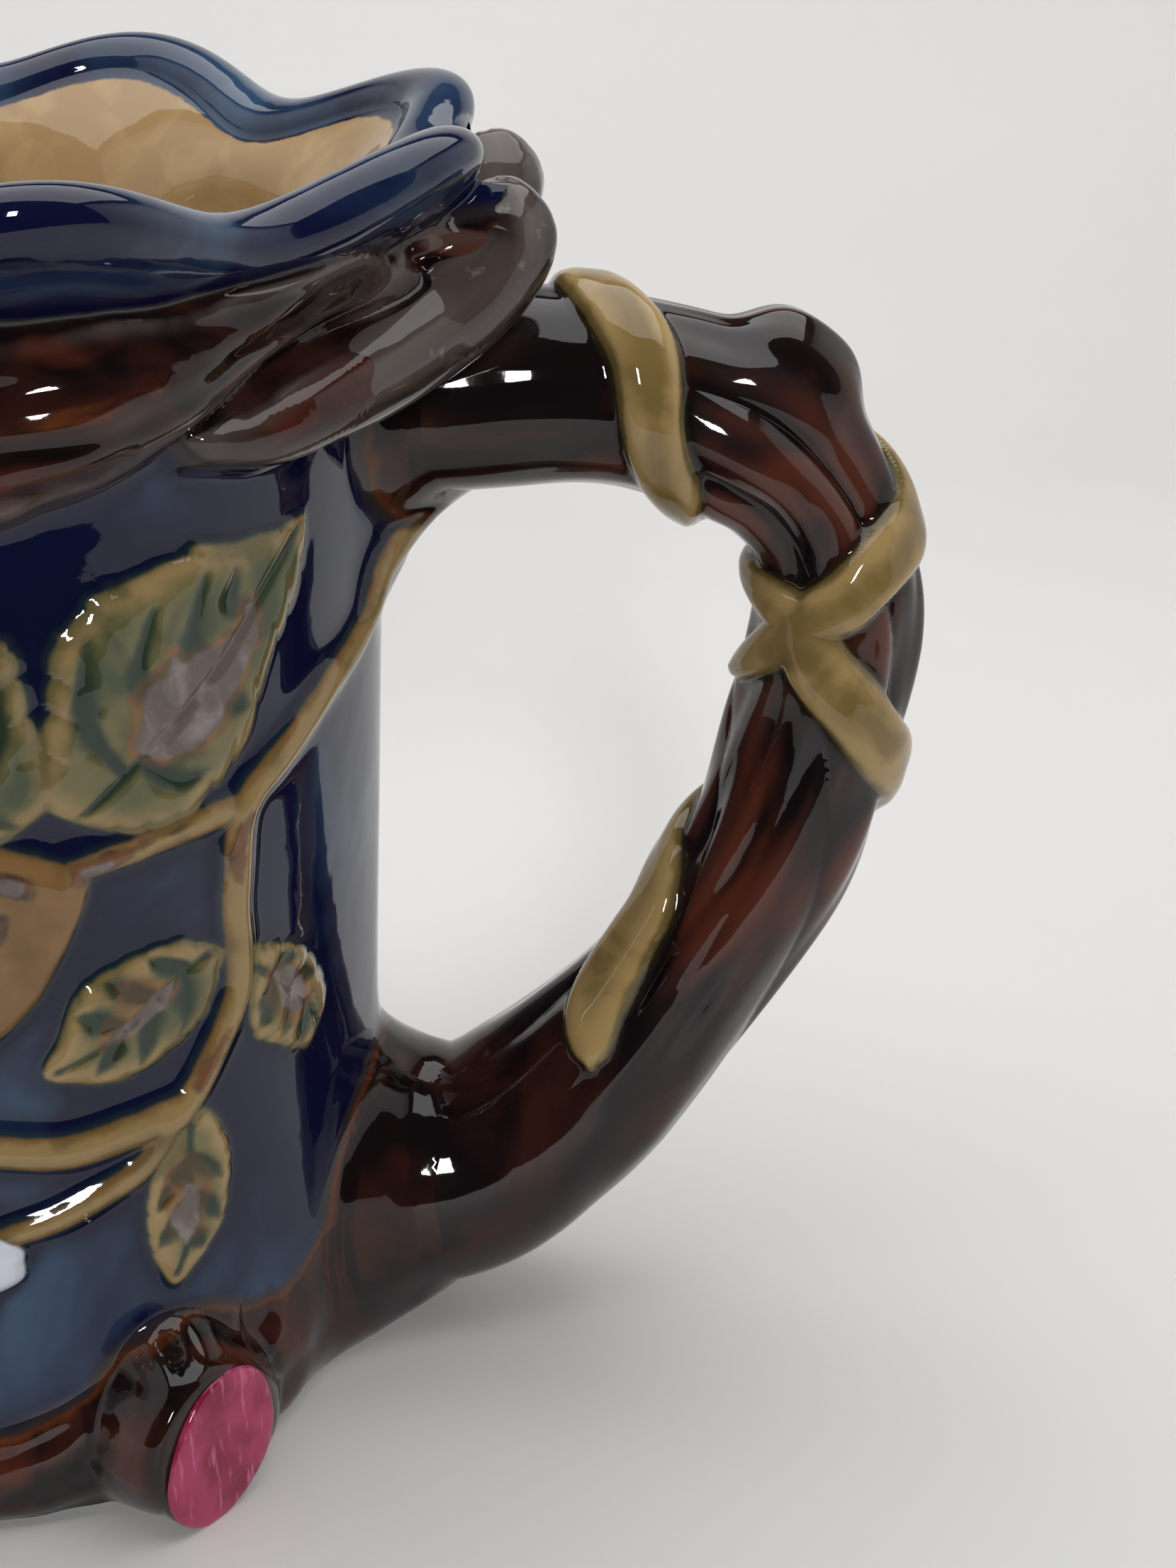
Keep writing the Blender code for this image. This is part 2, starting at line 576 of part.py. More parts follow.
# The table plane that trims the underside flat
bpy.ops.mesh.primitive_cube_add(size=1.0, location=(0.0, 0.0, -0.5 * TABLE_DEPTH))
table = bpy.context.object
table.name = "underside cutter"
table.scale = (8 * RIM_RADIUS, 8 * RIM_RADIUS, TABLE_DEPTH)
for home in list(table.users_collection):
    home.objects.unlink(table)
cutters.objects.link(table)

for other in [handle] + knots + stubs:
    combine(pitcher, other, "UNION")
combine(pitcher, table, "DIFFERENCE")

clean = bmesh.new()
clean.from_mesh(pitcher.data)
bmesh.ops.remove_doubles(clean, verts=clean.verts, dist=4e-6)
bmesh.ops.dissolve_degenerate(clean, edges=clean.edges, dist=4e-6)
bmesh.ops.triangulate(clean, faces=clean.faces)
clean.to_mesh(pitcher.data)
clean.free()

for cutter in cutters.objects:
    cutter.hide_render = True
    cutter.display_type = "WIRE"

glaze = bpy.data.materials.new("Cobalt majolica glaze")
glaze.use_nodes = True
shader = glaze.node_tree.nodes["Principled BSDF"]
shader.inputs["Base Color"].default_value = (0.045, 0.075, 0.160, 1.0)
shader.inputs["Roughness"].default_value = 0.12
pitcher.data.materials.clear()
pitcher.data.materials.append(glaze)
for face in pitcher.data.polygons:
    face.use_smooth = True
pitcher.data.set_sharp_from_angle(angle=math.radians(55))
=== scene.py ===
"""The looks of a majolica pitcher: cobalt body with vine and leaves, branch handle, branch rim and root foot."""

import math

import bpy
import numpy as np
from mathutils import Matrix, Vector


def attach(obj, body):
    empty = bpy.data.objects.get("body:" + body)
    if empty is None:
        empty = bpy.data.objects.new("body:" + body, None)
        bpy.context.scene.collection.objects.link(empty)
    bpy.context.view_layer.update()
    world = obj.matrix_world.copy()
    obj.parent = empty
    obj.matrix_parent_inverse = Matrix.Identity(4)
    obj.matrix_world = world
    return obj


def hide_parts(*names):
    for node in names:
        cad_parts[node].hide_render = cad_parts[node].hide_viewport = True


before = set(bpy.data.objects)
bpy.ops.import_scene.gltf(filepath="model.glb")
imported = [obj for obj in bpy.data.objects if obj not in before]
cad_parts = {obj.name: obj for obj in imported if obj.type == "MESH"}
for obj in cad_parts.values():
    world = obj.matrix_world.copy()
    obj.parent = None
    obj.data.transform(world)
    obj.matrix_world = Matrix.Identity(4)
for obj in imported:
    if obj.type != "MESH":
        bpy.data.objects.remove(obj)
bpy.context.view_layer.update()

# The wall: one turned earthenware cylinder under cobalt glaze, with a rounded foot, a lobed rim
# that flares outward, and a spout opposite the handle. Lengths in this file are millimetres until
# a mesh is made; azimuths are degrees from the handle, negative on the side with the fuller carving.

FOOT_RADIUS = 59.0
RADIUS_LOW = 62.2
RADIUS_HIGH = 69.2
MIDDLE_RADIUS = 65.7
FOOT_ROUNDING = 10.0
TAPER_FROM = 20.0
NECK = 180.0
INNER_TOP = 184.0
RIM = 200.0
LIP_MIDDLE = 80.0
LIP_HALF_WIDTH = 6.0
LIP_RISE = 4.6
WALL = 5.0


def wall_radius(z):
    """Radius of the plain outer wall: a slow taper, a quadratic rounding at the foot, the flare at the rim."""
    side = RADIUS_LOW + (RADIUS_HIGH - RADIUS_LOW) * np.minimum((z - TAPER_FROM) / (NECK - TAPER_FROM), 1)
    side = side - (RADIUS_LOW - FOOT_RADIUS) * np.clip(1 - z / FOOT_ROUNDING, 0, 1) ** 2
    return side + (LIP_MIDDLE + LIP_HALF_WIDTH - side) * flare(z)


def flare(z):
    """Nothing up to the neck, then a smooth S-shaped step to 1 at the lip's edge."""
    share = np.clip((z - NECK) / (RIM - NECK), 0, 1)
    return share ** 2 * (3 - 2 * share)


def inner_radius(z):
    """Radius of the inner wall: the outer taper less the wall, then a 2.6th power curve out to the lip."""
    taper = np.clip((z - TAPER_FROM) / (NECK - TAPER_FROM), -0.1, 1)
    side = RADIUS_LOW + (RADIUS_HIGH - RADIUS_LOW) * taper - WALL
    return side + (LIP_MIDDLE - LIP_HALF_WIDTH - side) * np.clip((z - NECK) / (RIM - 2 - NECK), 0, 1) ** 2.6


def rim_wave(azimuth):
    """Outward and upward shift of the lip: eight lobes, a spout at 180 degrees, a tilt, a rise to the spout."""
    azimuth = (azimuth + 180) % 360 - 180
    spout = np.exp(-(((np.abs(azimuth) - 180) / 22) ** 2))
    drift = 3 * np.exp(-(((azimuth - 75) / 20) ** 2))
    wave = -np.cos(np.radians(8 * (azimuth - drift))) * (1 - spout)
    climb = 4.0 / (1 + np.exp((80 - np.abs(azimuth)) / 9))
    tilt = 1.6 * np.sin(np.radians(azimuth)) * (1 - spout)
    return 5.0 * wave + 17.0 * spout, 3.6 * wave + 6.0 * spout + tilt + climb


def flat(points):
    """Azimuth and height as arc length at the wall's middle radius and height."""
    points = np.asarray(points, float)
    return np.column_stack([np.radians(points[:, 0]) * MIDDLE_RADIUS, points[:, 1]])


def through(points, count):
    """A smooth curve through points, by Catmull and Rom's cubic pieces."""
    knots = np.asarray(points, float)
    ends = np.vstack([2 * knots[0] - knots[1], knots, 2 * knots[-1] - knots[-2]])
    place = np.linspace(0, len(knots) - 1.000001, count)
    piece = place.astype(int)
    t = (place - piece)[:, None]
    a, b, c, d = ends[piece], ends[piece + 1], ends[piece + 2], ends[piece + 3]
    square, cube = 2 * a - 5 * b + 4 * c - d, 3 * b - a - 3 * c + d
    return 0.5 * (2 * b + (c - a) * t + square * t ** 2 + cube * t ** 3)


def path_distance(x, y, path, values=None):
    """Distance of every point of a grid from a path, and the path's own values at its nearest place."""
    best = np.full(x.shape, 1e9)
    width = 0 if values is None else values.shape[1]
    found = [np.zeros(x.shape) for _ in range(width)]
    for k in range(len(path) - 1):
        step = path[k + 1] - path[k]
        t = np.clip(((x - path[k, 0]) * step[0] + (y - path[k, 1]) * step[1]) / (step @ step), 0, 1)
        gap = np.hypot(x - path[k, 0] - t * step[0], y - path[k, 1] - t * step[1])
        nearer = gap < best
        best = np.where(nearer, gap, best)
        for n in range(width):
            found[n] = np.where(nearer, values[k, n] + t * (values[k + 1, n] - values[k, n]), found[n])
    return best, found


def within(x, y, loop):
    """Signed distance to a closed loop, positive inside, by counting crossings to the right."""
    closed = np.vstack([loop, loop[:1]])
    gap, _ = path_distance(x, y, closed)
    inside = np.zeros(x.shape, bool)
    for (x0, y0), (x1, y1) in zip(closed[:-1], closed[1:]):
        crosses = (y0 > y) != (y1 > y)
        inside ^= crosses & (x < x0 + (y - y0) * (x1 - x0) / (y1 - y0 + 1e-12))
    return np.where(inside, gap, -gap)


def closed_curve(loop, pieces):
    """A smooth closed curve through a loop's points, with the given number of points for each of them."""
    return through(np.vstack([loop, loop[:1]]), pieces * len(loop))


def rounded(inset, half_width, skirt):
    """A cushion-shaped rise from 0 to 1: half an ellipse across, with a soft skirt at its foot."""
    soft = skirt * np.logaddexp(0, inset / skirt)
    return np.sqrt(np.clip(1 - (1 - np.minimum(soft / half_width, 1)) ** 2, 0, 1))


def merged(heights, power):
    """The greatest of several rises, filleted where they meet, as the power mean of them."""
    return sum(np.maximum(h, 0) ** power for h in heights) ** (1 / power)


def waves(x, y, seed, size):
    """Smooth unevenness between about -1 and 1: a sum of nine plane waves of about the given length."""
    spin = np.random.default_rng(seed)
    total = np.zeros(np.broadcast(x, y).shape)
    for angle, phase, stretch in spin.random((9, 3)) * (2 * math.pi, 2 * math.pi, 1):
        pace = 2 * math.pi / (size * (0.6 + 0.9 * stretch))
        total += np.sin(pace * (x * math.cos(angle) + y * math.sin(angle)) + phase)
    return total / 4.5


# The raised vine: a rope of clay that comes down from under the handle, forks round the leaves, and
# is left in tan glaze. The side away from the fuller carving has a plainer one.

VINES = (
    (3.1,
     ((-0.5, 158), (-1, 150), (-3, 144.5), (-7.5, 141.5), (-11, 138), (-13.5, 132.5), (-18.5, 128.8),
      (-27, 125), (-36.7, 118.5), (-41.6, 115.2), (-43.9, 110.9), (-44.7, 102.8), (-45.1, 96.8), (-44.8, 90.7),
      (-45.4, 83.5), (-49.4, 75.3), (-53.6, 68.8), (-57.5, 66))),
    (2.2, ((-42.5, 113.6), (-47.8, 113.5), (-54, 112.8), (-61, 111.7), (-67, 110.6))),
    (3.0, ((-55.5, 67.5), (-62, 66.8), (-70.4, 66), (-79, 68), (-90, 71), (-101, 77), (-110, 87))),
    (2.3, ((-56.5, 65.5), (-60.5, 60.4), (-66, 57.4), (-72.1, 54.8), (-79, 53), (-86, 50))),
    (2.9,
     ((3, 152), (5, 143), (9, 135), (18, 129), (28, 124), (37, 117), (43, 106), (45, 94), (48, 82), (54, 72),
      (63, 65), (74, 60), (84, 55))),
    (2.2, ((37, 117), (46, 113), (56, 113), (67, 117))),
)


def vine_rise(x, y):
    """Height of the vines and their signed distance: rounded ropes that taper along their paths."""
    rises, insets = [], []
    for half_width, path in VINES:
        line = through(flat(path), 5 * len(path))
        taper = np.linspace(1.0, 0.78, len(line))[:, None] * half_width
        gap, (reach,) = path_distance(x, y, line, taper)
        rises.append(0.85 * half_width * rounded(reach - gap, half_width, 0.5))
        insets.append(reach - gap)
    return merged(rises, 6), np.maximum.reduce(insets)


# The leaves: low relief cast with the wall, each with a toothed outline, a sunk midrib and sunk
# side veins in which green glaze pools. One smooth tan shape has neither teeth nor veins.

BIG_LEAF = (
    ((-30.4, 153.6), (-37.8, 153), (-43, 153), (-48, 154), (-51, 153.4), (-54, 152.5), (-58, 151), (-62, 150),
     (-65, 146), (-67, 144), (-68.6, 134), (-70, 127.6), (-71, 123), (-67.8, 119), (-60, 114.6), (-53, 114),
     (-48.8, 117), (-46, 118.7), (-41.5, 124), (-37.7, 134), (-32.8, 142), (-30.3, 150)),
    ((-66, 118), (-60, 123.5), (-53, 130), (-47, 136), (-41, 143.5), (-35, 150), (-31, 153)),
    (((-47, 136.5), (-50.5, 140), (-50.3, 144), (-48.5, 150)),
     ((-53, 130.5), (-57.3, 136), (-57.2, 141), (-55.4, 147)),
     ((-60, 124), (-63.3, 130.6), (-64.4, 137), (-63.4, 144)), ((-41.5, 143), (-44.7, 145), (-43.8, 149.5)),
     ((-58, 125), (-53, 121), (-49, 121.5)), ((-50, 133), (-45, 130), (-42.5, 129))),
)
LEAF_ONE = (
    ((-47, 91.6), (-52, 95), (-57, 95.4), (-63, 94), (-67.5, 91), (-70.4, 84), (-72.6, 79), (-69, 77),
     (-62, 75.5), (-54.6, 78.6), (-49.5, 83)),
    ((-46.5, 93.2), (-52.8, 90.8), (-56.9, 88.4), (-60.9, 84.9), (-65, 82), (-71, 79.2)),
    (((-52.5, 91), (-56, 92.5), (-58.5, 94.5)), ((-57.5, 88), (-61.5, 90.5), (-64.5, 92.5)),
     ((-61.5, 84.6), (-65.5, 86.5), (-68, 88)), ((-53.5, 90.5), (-53.5, 86), (-54, 81)),
     ((-58, 87.6), (-58.8, 83), (-60, 78)), ((-62.3, 84), (-64, 80.5), (-66, 77.5))),
)
LEAF_TWO = (
    ((-43, 90.5), (-38, 88.6), (-31.6, 84.5), (-27, 77), (-26.4, 72), (-29.5, 67.6), (-32, 67), (-38, 71),
     (-42.7, 76)),
    ((-43.8, 88), (-38.5, 83), (-34, 78), (-30.5, 73), (-28.5, 69)),
    (((-39, 83.5), (-36, 85), (-33, 84.5)), ((-35.5, 80), (-32, 81), (-29.5, 79.5)),
     ((-39, 83), (-40, 78.5), (-41.5, 75.5)), ((-35, 79.5), (-36, 75), (-37, 72)),
     ((-32, 75.5), (-33, 71.5), (-33, 68.5))),
)
LEAF_THREE = (
    ((-55, 66), (-50.6, 66), (-47.6, 59.5), (-47, 53.5), (-48, 47), (-49.5, 43.5), (-52.5, 40), (-57, 37),
     (-60, 44.5), (-60.2, 53), (-58.4, 60)),
    ((-53.5, 64.5), (-54.2, 57), (-54.4, 50), (-55, 44), (-56.8, 38.5)),
    (((-54, 59), (-51, 56.5), (-49, 53.5)), ((-54.3, 52.5), (-51.5, 49.5), (-49.5, 46)),
     ((-54, 58.5), (-57, 55), (-59, 51.5)), ((-54.4, 52), (-57.2, 48), (-59, 45)),
     ((-55, 46), (-53, 43.5), (-52, 41.5))),
)


def moved(leaf, stretch, shift, up=1.0, rise=0.0):
    """A leaf with its azimuths and heights stretched and shifted."""
    outline, midrib, veins = leaf
    return tuple(tuple((a * stretch + shift, z * up + rise) for a, z in path) for path in (outline, midrib) + veins)


LEAVES = (
    (moved(BIG_LEAF, 1, 0), 0.9, 10),
    (moved(BIG_LEAF, -1, -138.6), 0.9, 10),
    (moved(LEAF_ONE, 1, 0), 0.5, 7),
    (moved(LEAF_TWO, 1, 0), 0.5, 7),
    (moved(LEAF_THREE, 1, 0), 0.4, 7),
    (moved(LEAF_ONE, 0.8, -70, -1.4, 214.2), 0.7, 8),
    (moved(BIG_LEAF, 1, 134), 0.9, 10),
    (moved(LEAF_ONE, -1, 0), 0.7, 8),
    (moved(LEAF_THREE, -1, 8), 0.5, 8),
)

# Where the leaves' glaze has broken to brown, and where it has turned grey over the brown
BROWN_PATCHES = (
    ((-59.8, 126), (-56.6, 123.6), (-53.2, 123.4), (-50, 124.4), (-46.6, 126.4), (-44.2, 129), (-42.2, 134),
     (-39.8, 139.4), (-39.8, 144.6), (-42, 146.2), (-44.4, 143.4), (-46.4, 141.2), (-50.4, 140.2), (-53.8, 142),
     (-56.4, 138.4), (-59, 135)),
    ((-62.3, 92.0), (-59.5, 92.8), (-56.3, 90.4), (-54.0, 90.0), (-53.6, 87.6), (-58.0, 84.6), (-61.4, 82.6),
     (-66.0, 81.2), (-66.2, 83.6), (-63.9, 88.4), (-63.4, 90.4)),
    ((-40.2, 85.6), (-36.3, 85.2), (-31.9, 81.2), (-31.0, 75.0), (-34.2, 72.3), (-38.9, 76.6), (-41.2, 81.7)),
    ((-58.9, 55.7), (-56.4, 60.4), (-54.4, 61.8), (-50.9, 55.9), (-51.0, 49.6), (-53.0, 44.3), (-57.7, 46.5)),
    ((-47.2, 104.5), (-46.2, 108.4), (-44.0, 112.2), (-42.6, 112.2), (-44.3, 107.0), (-45.0, 102.0)),
    ((-67.6, 112.0), (-64.0, 112.8), (-58.0, 113.9), (-52.0, 114.4), (-52.0, 113.4), (-58.0, 112.2),
     (-63.0, 109.0), (-67.0, 108.4)),
    ((-53.6, 71.6), (-50.6, 76.4), (-48.0, 79.6), (-47.0, 78.8), (-49.6, 74.4), (-52.4, 70.2)),
    ((-79, 106.8), (-75.0, 107.2), (-74.6, 104.4), (-76.1, 101.2), (-79, 100)),
)
GREY_PATCHES = (
    ((-58.6, 126.7), (-56.6, 125.4), (-53.4, 124.9), (-50.4, 125.8), (-47.3, 127.5), (-45.1, 129.9),
     (-43.3, 134.2), (-40.9, 139.2), (-40.6, 143.3), (-41.4, 144.6), (-43.1, 141.5), (-45.9, 139.7),
     (-50.0, 138.9), (-51.8, 138.2), (-53.2, 140.4), (-54.2, 137.5), (-56.6, 135.1), (-58.1, 130.8)),
    ((-54.8, 89.6), (-57.4, 88.6), (-60.6, 85.8), (-64.2, 83.6), (-64.4, 82.2), (-60.9, 83.2), (-58.0, 84.6),
     (-56.2, 86.6)),
    ((-38.4, 83.6), (-35.4, 84.0), (-33.0, 80.5), (-32.4, 76.3), (-34.6, 75.0), (-37.8, 78.1)),
    ((-55.0, 55.6), (-53.2, 54.4), (-52.4, 51.4), (-53.6, 46.2), (-55.3, 43.2), (-56.4, 46.5), (-57.9, 50.6),
     (-55.9, 51.6)),
    ((-66.5, 111.1), (-64.3, 111.6), (-62.2, 111.2), (-63.1, 109.6), (-65.3, 109.1)),
    ((-67.5, 61.5), (-64.8, 63.6), (-60.5, 63.2), (-63.1, 61.1), (-65.9, 60.4)),
)
# Signed distance given to points well outside a shape
FAR_OUTSIDE = -20.0


def patch_inset(x, y, patches):
    """Signed distance to a set of glaze patches, each also moved onto the leaves of the other sides."""
    found = np.full(x.shape, FAR_OUTSIDE)
    for patch in patches:
        start = patch[0][1]
        for stretch, shift in ((1, 0), (-1, -138.6 if start > 110 else 0), (1, 134 if start > 115 else 400)):
            loop = flat([(a * stretch + shift, z) for a, z in patch])
            near = (np.abs(x - loop[:, 0].mean()) < 22) & (np.abs(y - loop[:, 1].mean()) < 22)
            found[near] = np.maximum(found[near], within(x[near], y[near], closed_curve(loop, 5)))
    return found


SMOOTH_LEAF = ((-75, 116), (-65.6, 110.5), (-65.4, 107), (-67.5, 101), (-70, 96), (-73, 91), (-79, 85.5),
               (-88, 85), (-95, 91), (-95, 101), (-88, 110))


def leaf_rise(x, y):
    """Height, signed distance and furrow depth of the leaves: shallow cushions with sunk veins."""
    rises, insets = [np.zeros(x.shape)], [np.full(x.shape, FAR_OUTSIDE)]
    furrow = np.zeros(x.shape)
    for (outline, midrib, *veins), tooth, teeth in LEAVES:
        loop = flat(outline)
        (left, bottom), (right, top) = loop.min(axis=0) - 8, loop.max(axis=0) + 8
        near = (x > left) & (x < right) & (y > bottom) & (y < top)
        u, v = x[near], y[near]
        inset = within(u, v, closed_curve(loop, 12))
        rib_gap, (along,) = path_distance(u, v, through(flat(midrib), 24), np.linspace(0, 1, 24)[:, None])
        saw = (along * teeth + 0.10 * rib_gap + 0.2 * waves(u, v, teeth, 14)) % 1.0
        scallop = np.sqrt(np.clip(1 - (2 * saw - 1) ** 2, 0, 1))
        between_ends = np.clip(along * 12, 0, 1) * np.clip((0.97 - along) * 12, 0, 1)
        inset = inset + tooth * (scallop - 0.8) * between_ends
        sunk = 0.75 * np.exp(-((rib_gap / 0.8) ** 2))
        for vein in veins:
            gap, (part,) = path_distance(u, v, through(flat(vein), 16), np.linspace(0, 1, 16)[:, None])
            reach = (0.7 + 1.3 * np.sin(math.pi * part ** 0.8)) * (1 + 0.3 * waves(u, v, 3, 9))
            sunk = np.maximum(sunk, (1.0 - 0.5 * part ** 3) * np.exp(-((gap / reach) ** 2)))
        plate = 1.5 * (1 - np.exp(-0.8 * 0.4 * np.logaddexp(0, inset / 0.4)))
        plate = plate + 0.6 * np.clip(rib_gap / 9, 0, 1) * np.clip(inset / 4, 0, 1)
        sunk = sunk * np.clip(inset / 1.6, 0, 1)
        rise = np.zeros(x.shape)
        rise[near] = np.maximum(plate - 0.75 * sunk, 0)
        rises.append(rise)
        side = np.full(x.shape, FAR_OUTSIDE)
        side[near] = inset
        insets.append(side)
        furrow[near] = np.maximum(furrow[near], sunk)
    return merged(rises, 6), np.maximum.reduce(insets), furrow


def smooth_leaf_rise(x, y):
    """The smooth tan shape: a cushion without veins."""
    loop = flat(SMOOTH_LEAF)
    inset = within(x, y, through(np.vstack([loop, loop[:1]]), 80))
    return 2.3 * rounded(inset, 4.0, 0.35), inset


# The blossoms: one on each side, five rounded petals round a boss, raised from the wall in one
# with it and covered in opaque white glaze.

BLOSSOMS = ((-88.0, 49.5), (87.0, 52.0))


def blossom_rise(x, y):
    """Height and signed distance of the blossoms: petals swell between five notches."""
    rises, insets = [], []
    for middle in flat(BLOSSOMS):
        across, up = x - middle[0], y - middle[1]
        radius = np.hypot(across, up)
        turn = np.arctan2(up, across)
        petal = np.abs(np.cos(2.5 * turn + 0.3)) ** 0.7
        frill = 0.25 * np.sin(11 * turn + 2 * np.sin(3 * turn))
        inset = 12.5 * (0.66 + 0.34 * petal) + frill - radius
        rise = 3.2 * rounded(inset, 3.5, 0.35) * (0.55 + 0.45 * petal * np.clip(radius / 6, 0, 1))
        boss = 3.4 * np.sqrt(np.clip(1 - (radius / 3.2) ** 2, 0, None))
        rises.append(np.maximum(rise, boss))
        insets.append(inset)
    return merged(rises, 6), np.maximum.reduce(insets)


# The branch band: gnarled lopped branches laid round the neck under the rim. They end in blunt
# knots beside the handle, in brown glaze that breaks to red, amber and grey where it is thin.

def mirrored(path):
    """A path of azimuths and heights on the other side of the handle."""
    return tuple((-azimuth, z) for azimuth, z in path)


# The big lobes of the near side, each with its rise, edge width, how far it follows the flare, and outline
NEAR_LOBES = (
    (9.0, 13.0, 0.0,
     ((-118, 192), (-96, 194), (-76, 195), (-64, 192.5), (-57.5, 191.2), (-52.0, 193.2), (-46.8, 195.4),
      (-40.9, 196.4), (-34.0, 195.0), (-26.2, 191.3), (-20.4, 187.0), (-18.8, 183.2), (-24.6, 180.7),
      (-33.0, 179.9), (-40.0, 178.0), (-46.0, 174.4), (-50.8, 170.6), (-56, 167.4), (-61.2, 165.2),
      (-67.5, 163.4), (-74, 161.4), (-96, 160), (-118, 165))),
    (8.5, 9.5, 1.0,
     ((-53, 170.5), (-49.5, 167.0), (-44.0, 165.0), (-38.6, 164.2), (-32, 164.6), (-26, 166.5), (-20, 170),
      (-14, 174), (-7, 178), (0, 180), (14, 182), (14, 192), (0, 192), (-12, 192), (-20, 190), (-28, 184),
      (-38, 179), (-46, 174.5))),
)
LOBES = NEAR_LOBES + tuple((*sizes, mirrored(outline)) for *sizes, outline in NEAR_LOBES)
# Burls on the first lobe of each side: azimuth from the handle, height and rise
BURLS = ((74.0, 171.5, 1.6), (63.5, 173.0, 2.4), (53.5, 176.5, 2.6))
BURL_SPREAD = 6.5
# Thinner branches that carry the lobes on round the spout: azimuth, height, half width and rise
BRANCHES = (
    ((-180, 173, 9, 7), (-150, 172, 9, 8), (-125, 176, 9.5, 8.5), (-105, 177, 10, 9), (-80, 177, 10, 9)),
    ((-140, 180, 6, 5), (-118, 169, 7, 7), (-98, 167, 7, 8), (-80, 168, 6, 7)),
    ((180, 173, 9, 7), (150, 174, 9, 8), (125, 176, 9.5, 8.5), (105, 177, 10, 9), (80, 177, 10, 9)),
    ((140, 180, 6, 5), (118, 169, 7, 7), (98, 167, 7, 8), (80, 168, 6, 7)),
)
# Furrows between the strands of a lobe, as azimuth and height; the far side has all but the second
NEAR_FURROWS = (
    ((-120, 168), (-95, 171.5), (-75, 172.5), (-62, 174), (-52, 177.5), (-42, 181.5)),
    ((-90, 165), (-76, 165.5), (-66, 167), (-58, 170.5)),
    ((-44, 185), (-37, 187.5), (-30, 187.5), (-26, 185.5)),
    ((-96, 180), (-82, 179), (-66, 181), (-54, 185)),
)
BARK_FURROWS = NEAR_FURROWS + tuple(mirrored(furrow) for furrow in NEAR_FURROWS[:1] + NEAR_FURROWS[2:])


def band_rise(x, y, flared):
    """Height and signed distance of the band: cushions inside loops and along branches, scored by soft furrows."""
    rises, insets = [], []
    aside = np.abs(x)
    for n, (rise, edge, follows, outline) in enumerate(LOBES):
        loop = flat(outline)
        inset = np.full(x.shape, FAR_OUTSIDE)
        near = (x > loop[:, 0].min() - 9) & (x < loop[:, 0].max() + 9) & (y > 150)
        inset[near] = within(x[near], y[near], closed_curve(loop, 6))
        inset = inset + 0.5 * waves(x, y, 40 + n, 22)
        risen = rise * rounded(inset, edge, 0.45) * (1 + 0.10 * waves(x, y, 60 + n, 20))
        if follows:
            # This lobe dips where the one before it lies over it
            risen = np.maximum(risen - crevice, 0)
        else:
            ridge = 0.9 * np.exp(-(((inset - 3.2) / 1.5) ** 2)) * np.clip((60 - aside) / 12, 0, 1)
            risen = risen + ridge
            for place, level, swell in BURLS:
                away = np.hypot(aside - MIDDLE_RADIUS * math.radians(place), y - level)
                risen = risen + swell * np.exp(-((away / BURL_SPREAD) ** 2))
            clinging = 0.55 * np.clip((72 - aside) / 12, 0, 1)
            risen = risen - (1 - clinging) * flared
            crevice = 3.4 * np.exp(-(((inset + 1.6) / 1.9) ** 2))
            crevice = crevice * np.clip((56 - aside) / 8, 0, 1) * np.clip((192 - y) / 5, 0, 1)
        rises.append(risen)
        insets.append(np.minimum(inset, risen - 0.6))
    for n, branch in enumerate(BRANCHES):
        rows = through(branch, 8 * len(branch))
        gap, (half_width, rise) = path_distance(x, y, flat(rows[:, :2]), rows[:, 2:])
        gap = gap + 0.5 * waves(x, y, 50 + n, 16)
        lumps = 1 + 0.05 * waves(x, y, 70 + n, 13)
        rises.append(rise * rounded(half_width - gap, half_width, 0.45) * lumps - flared)
        insets.append(np.minimum(half_width - gap, rises[-1] - 0.6))
    total = merged(rises, 10)
    for furrow in BARK_FURROWS:
        depth = np.sin(np.linspace(0, math.pi, 30))[:, None]
        gap, (part,) = path_distance(x, y, through(flat(furrow), 30), depth)
        total = total - 1.2 * part ** 0.5 * np.exp(-((gap / 2.2) ** 2)) * np.clip(total / 4, 0, 1)
    streak = np.sin((y + 2.5 * waves(x, y, 5, 40)) * 1.5) * np.sin(y * 0.55 + 1.5 * waves(x, y, 6, 30))
    return total + 0.05 * streak * np.clip(total / 5, 0, 1), np.maximum.reduce(insets)


# The root foot: a swollen ring of root round the base that rises at the handle and at four lopped
# stubs, in the same brown glaze.

# The stubs: azimuth, and the way they lean and turn; their reach from the axis, height and half sizes
STUBS = ((-56.0, 1), (58.0, -1), (-128.0, -1), (132.0, 1))
STUB_REACH = 74.0
STUB_HEIGHT = 12.2
STUB_HALF_WIDTH = 10.6
STUB_HALF_HEIGHT = 13.2
STUB_LEAN = 25.0
STUB_TURN = 14.0


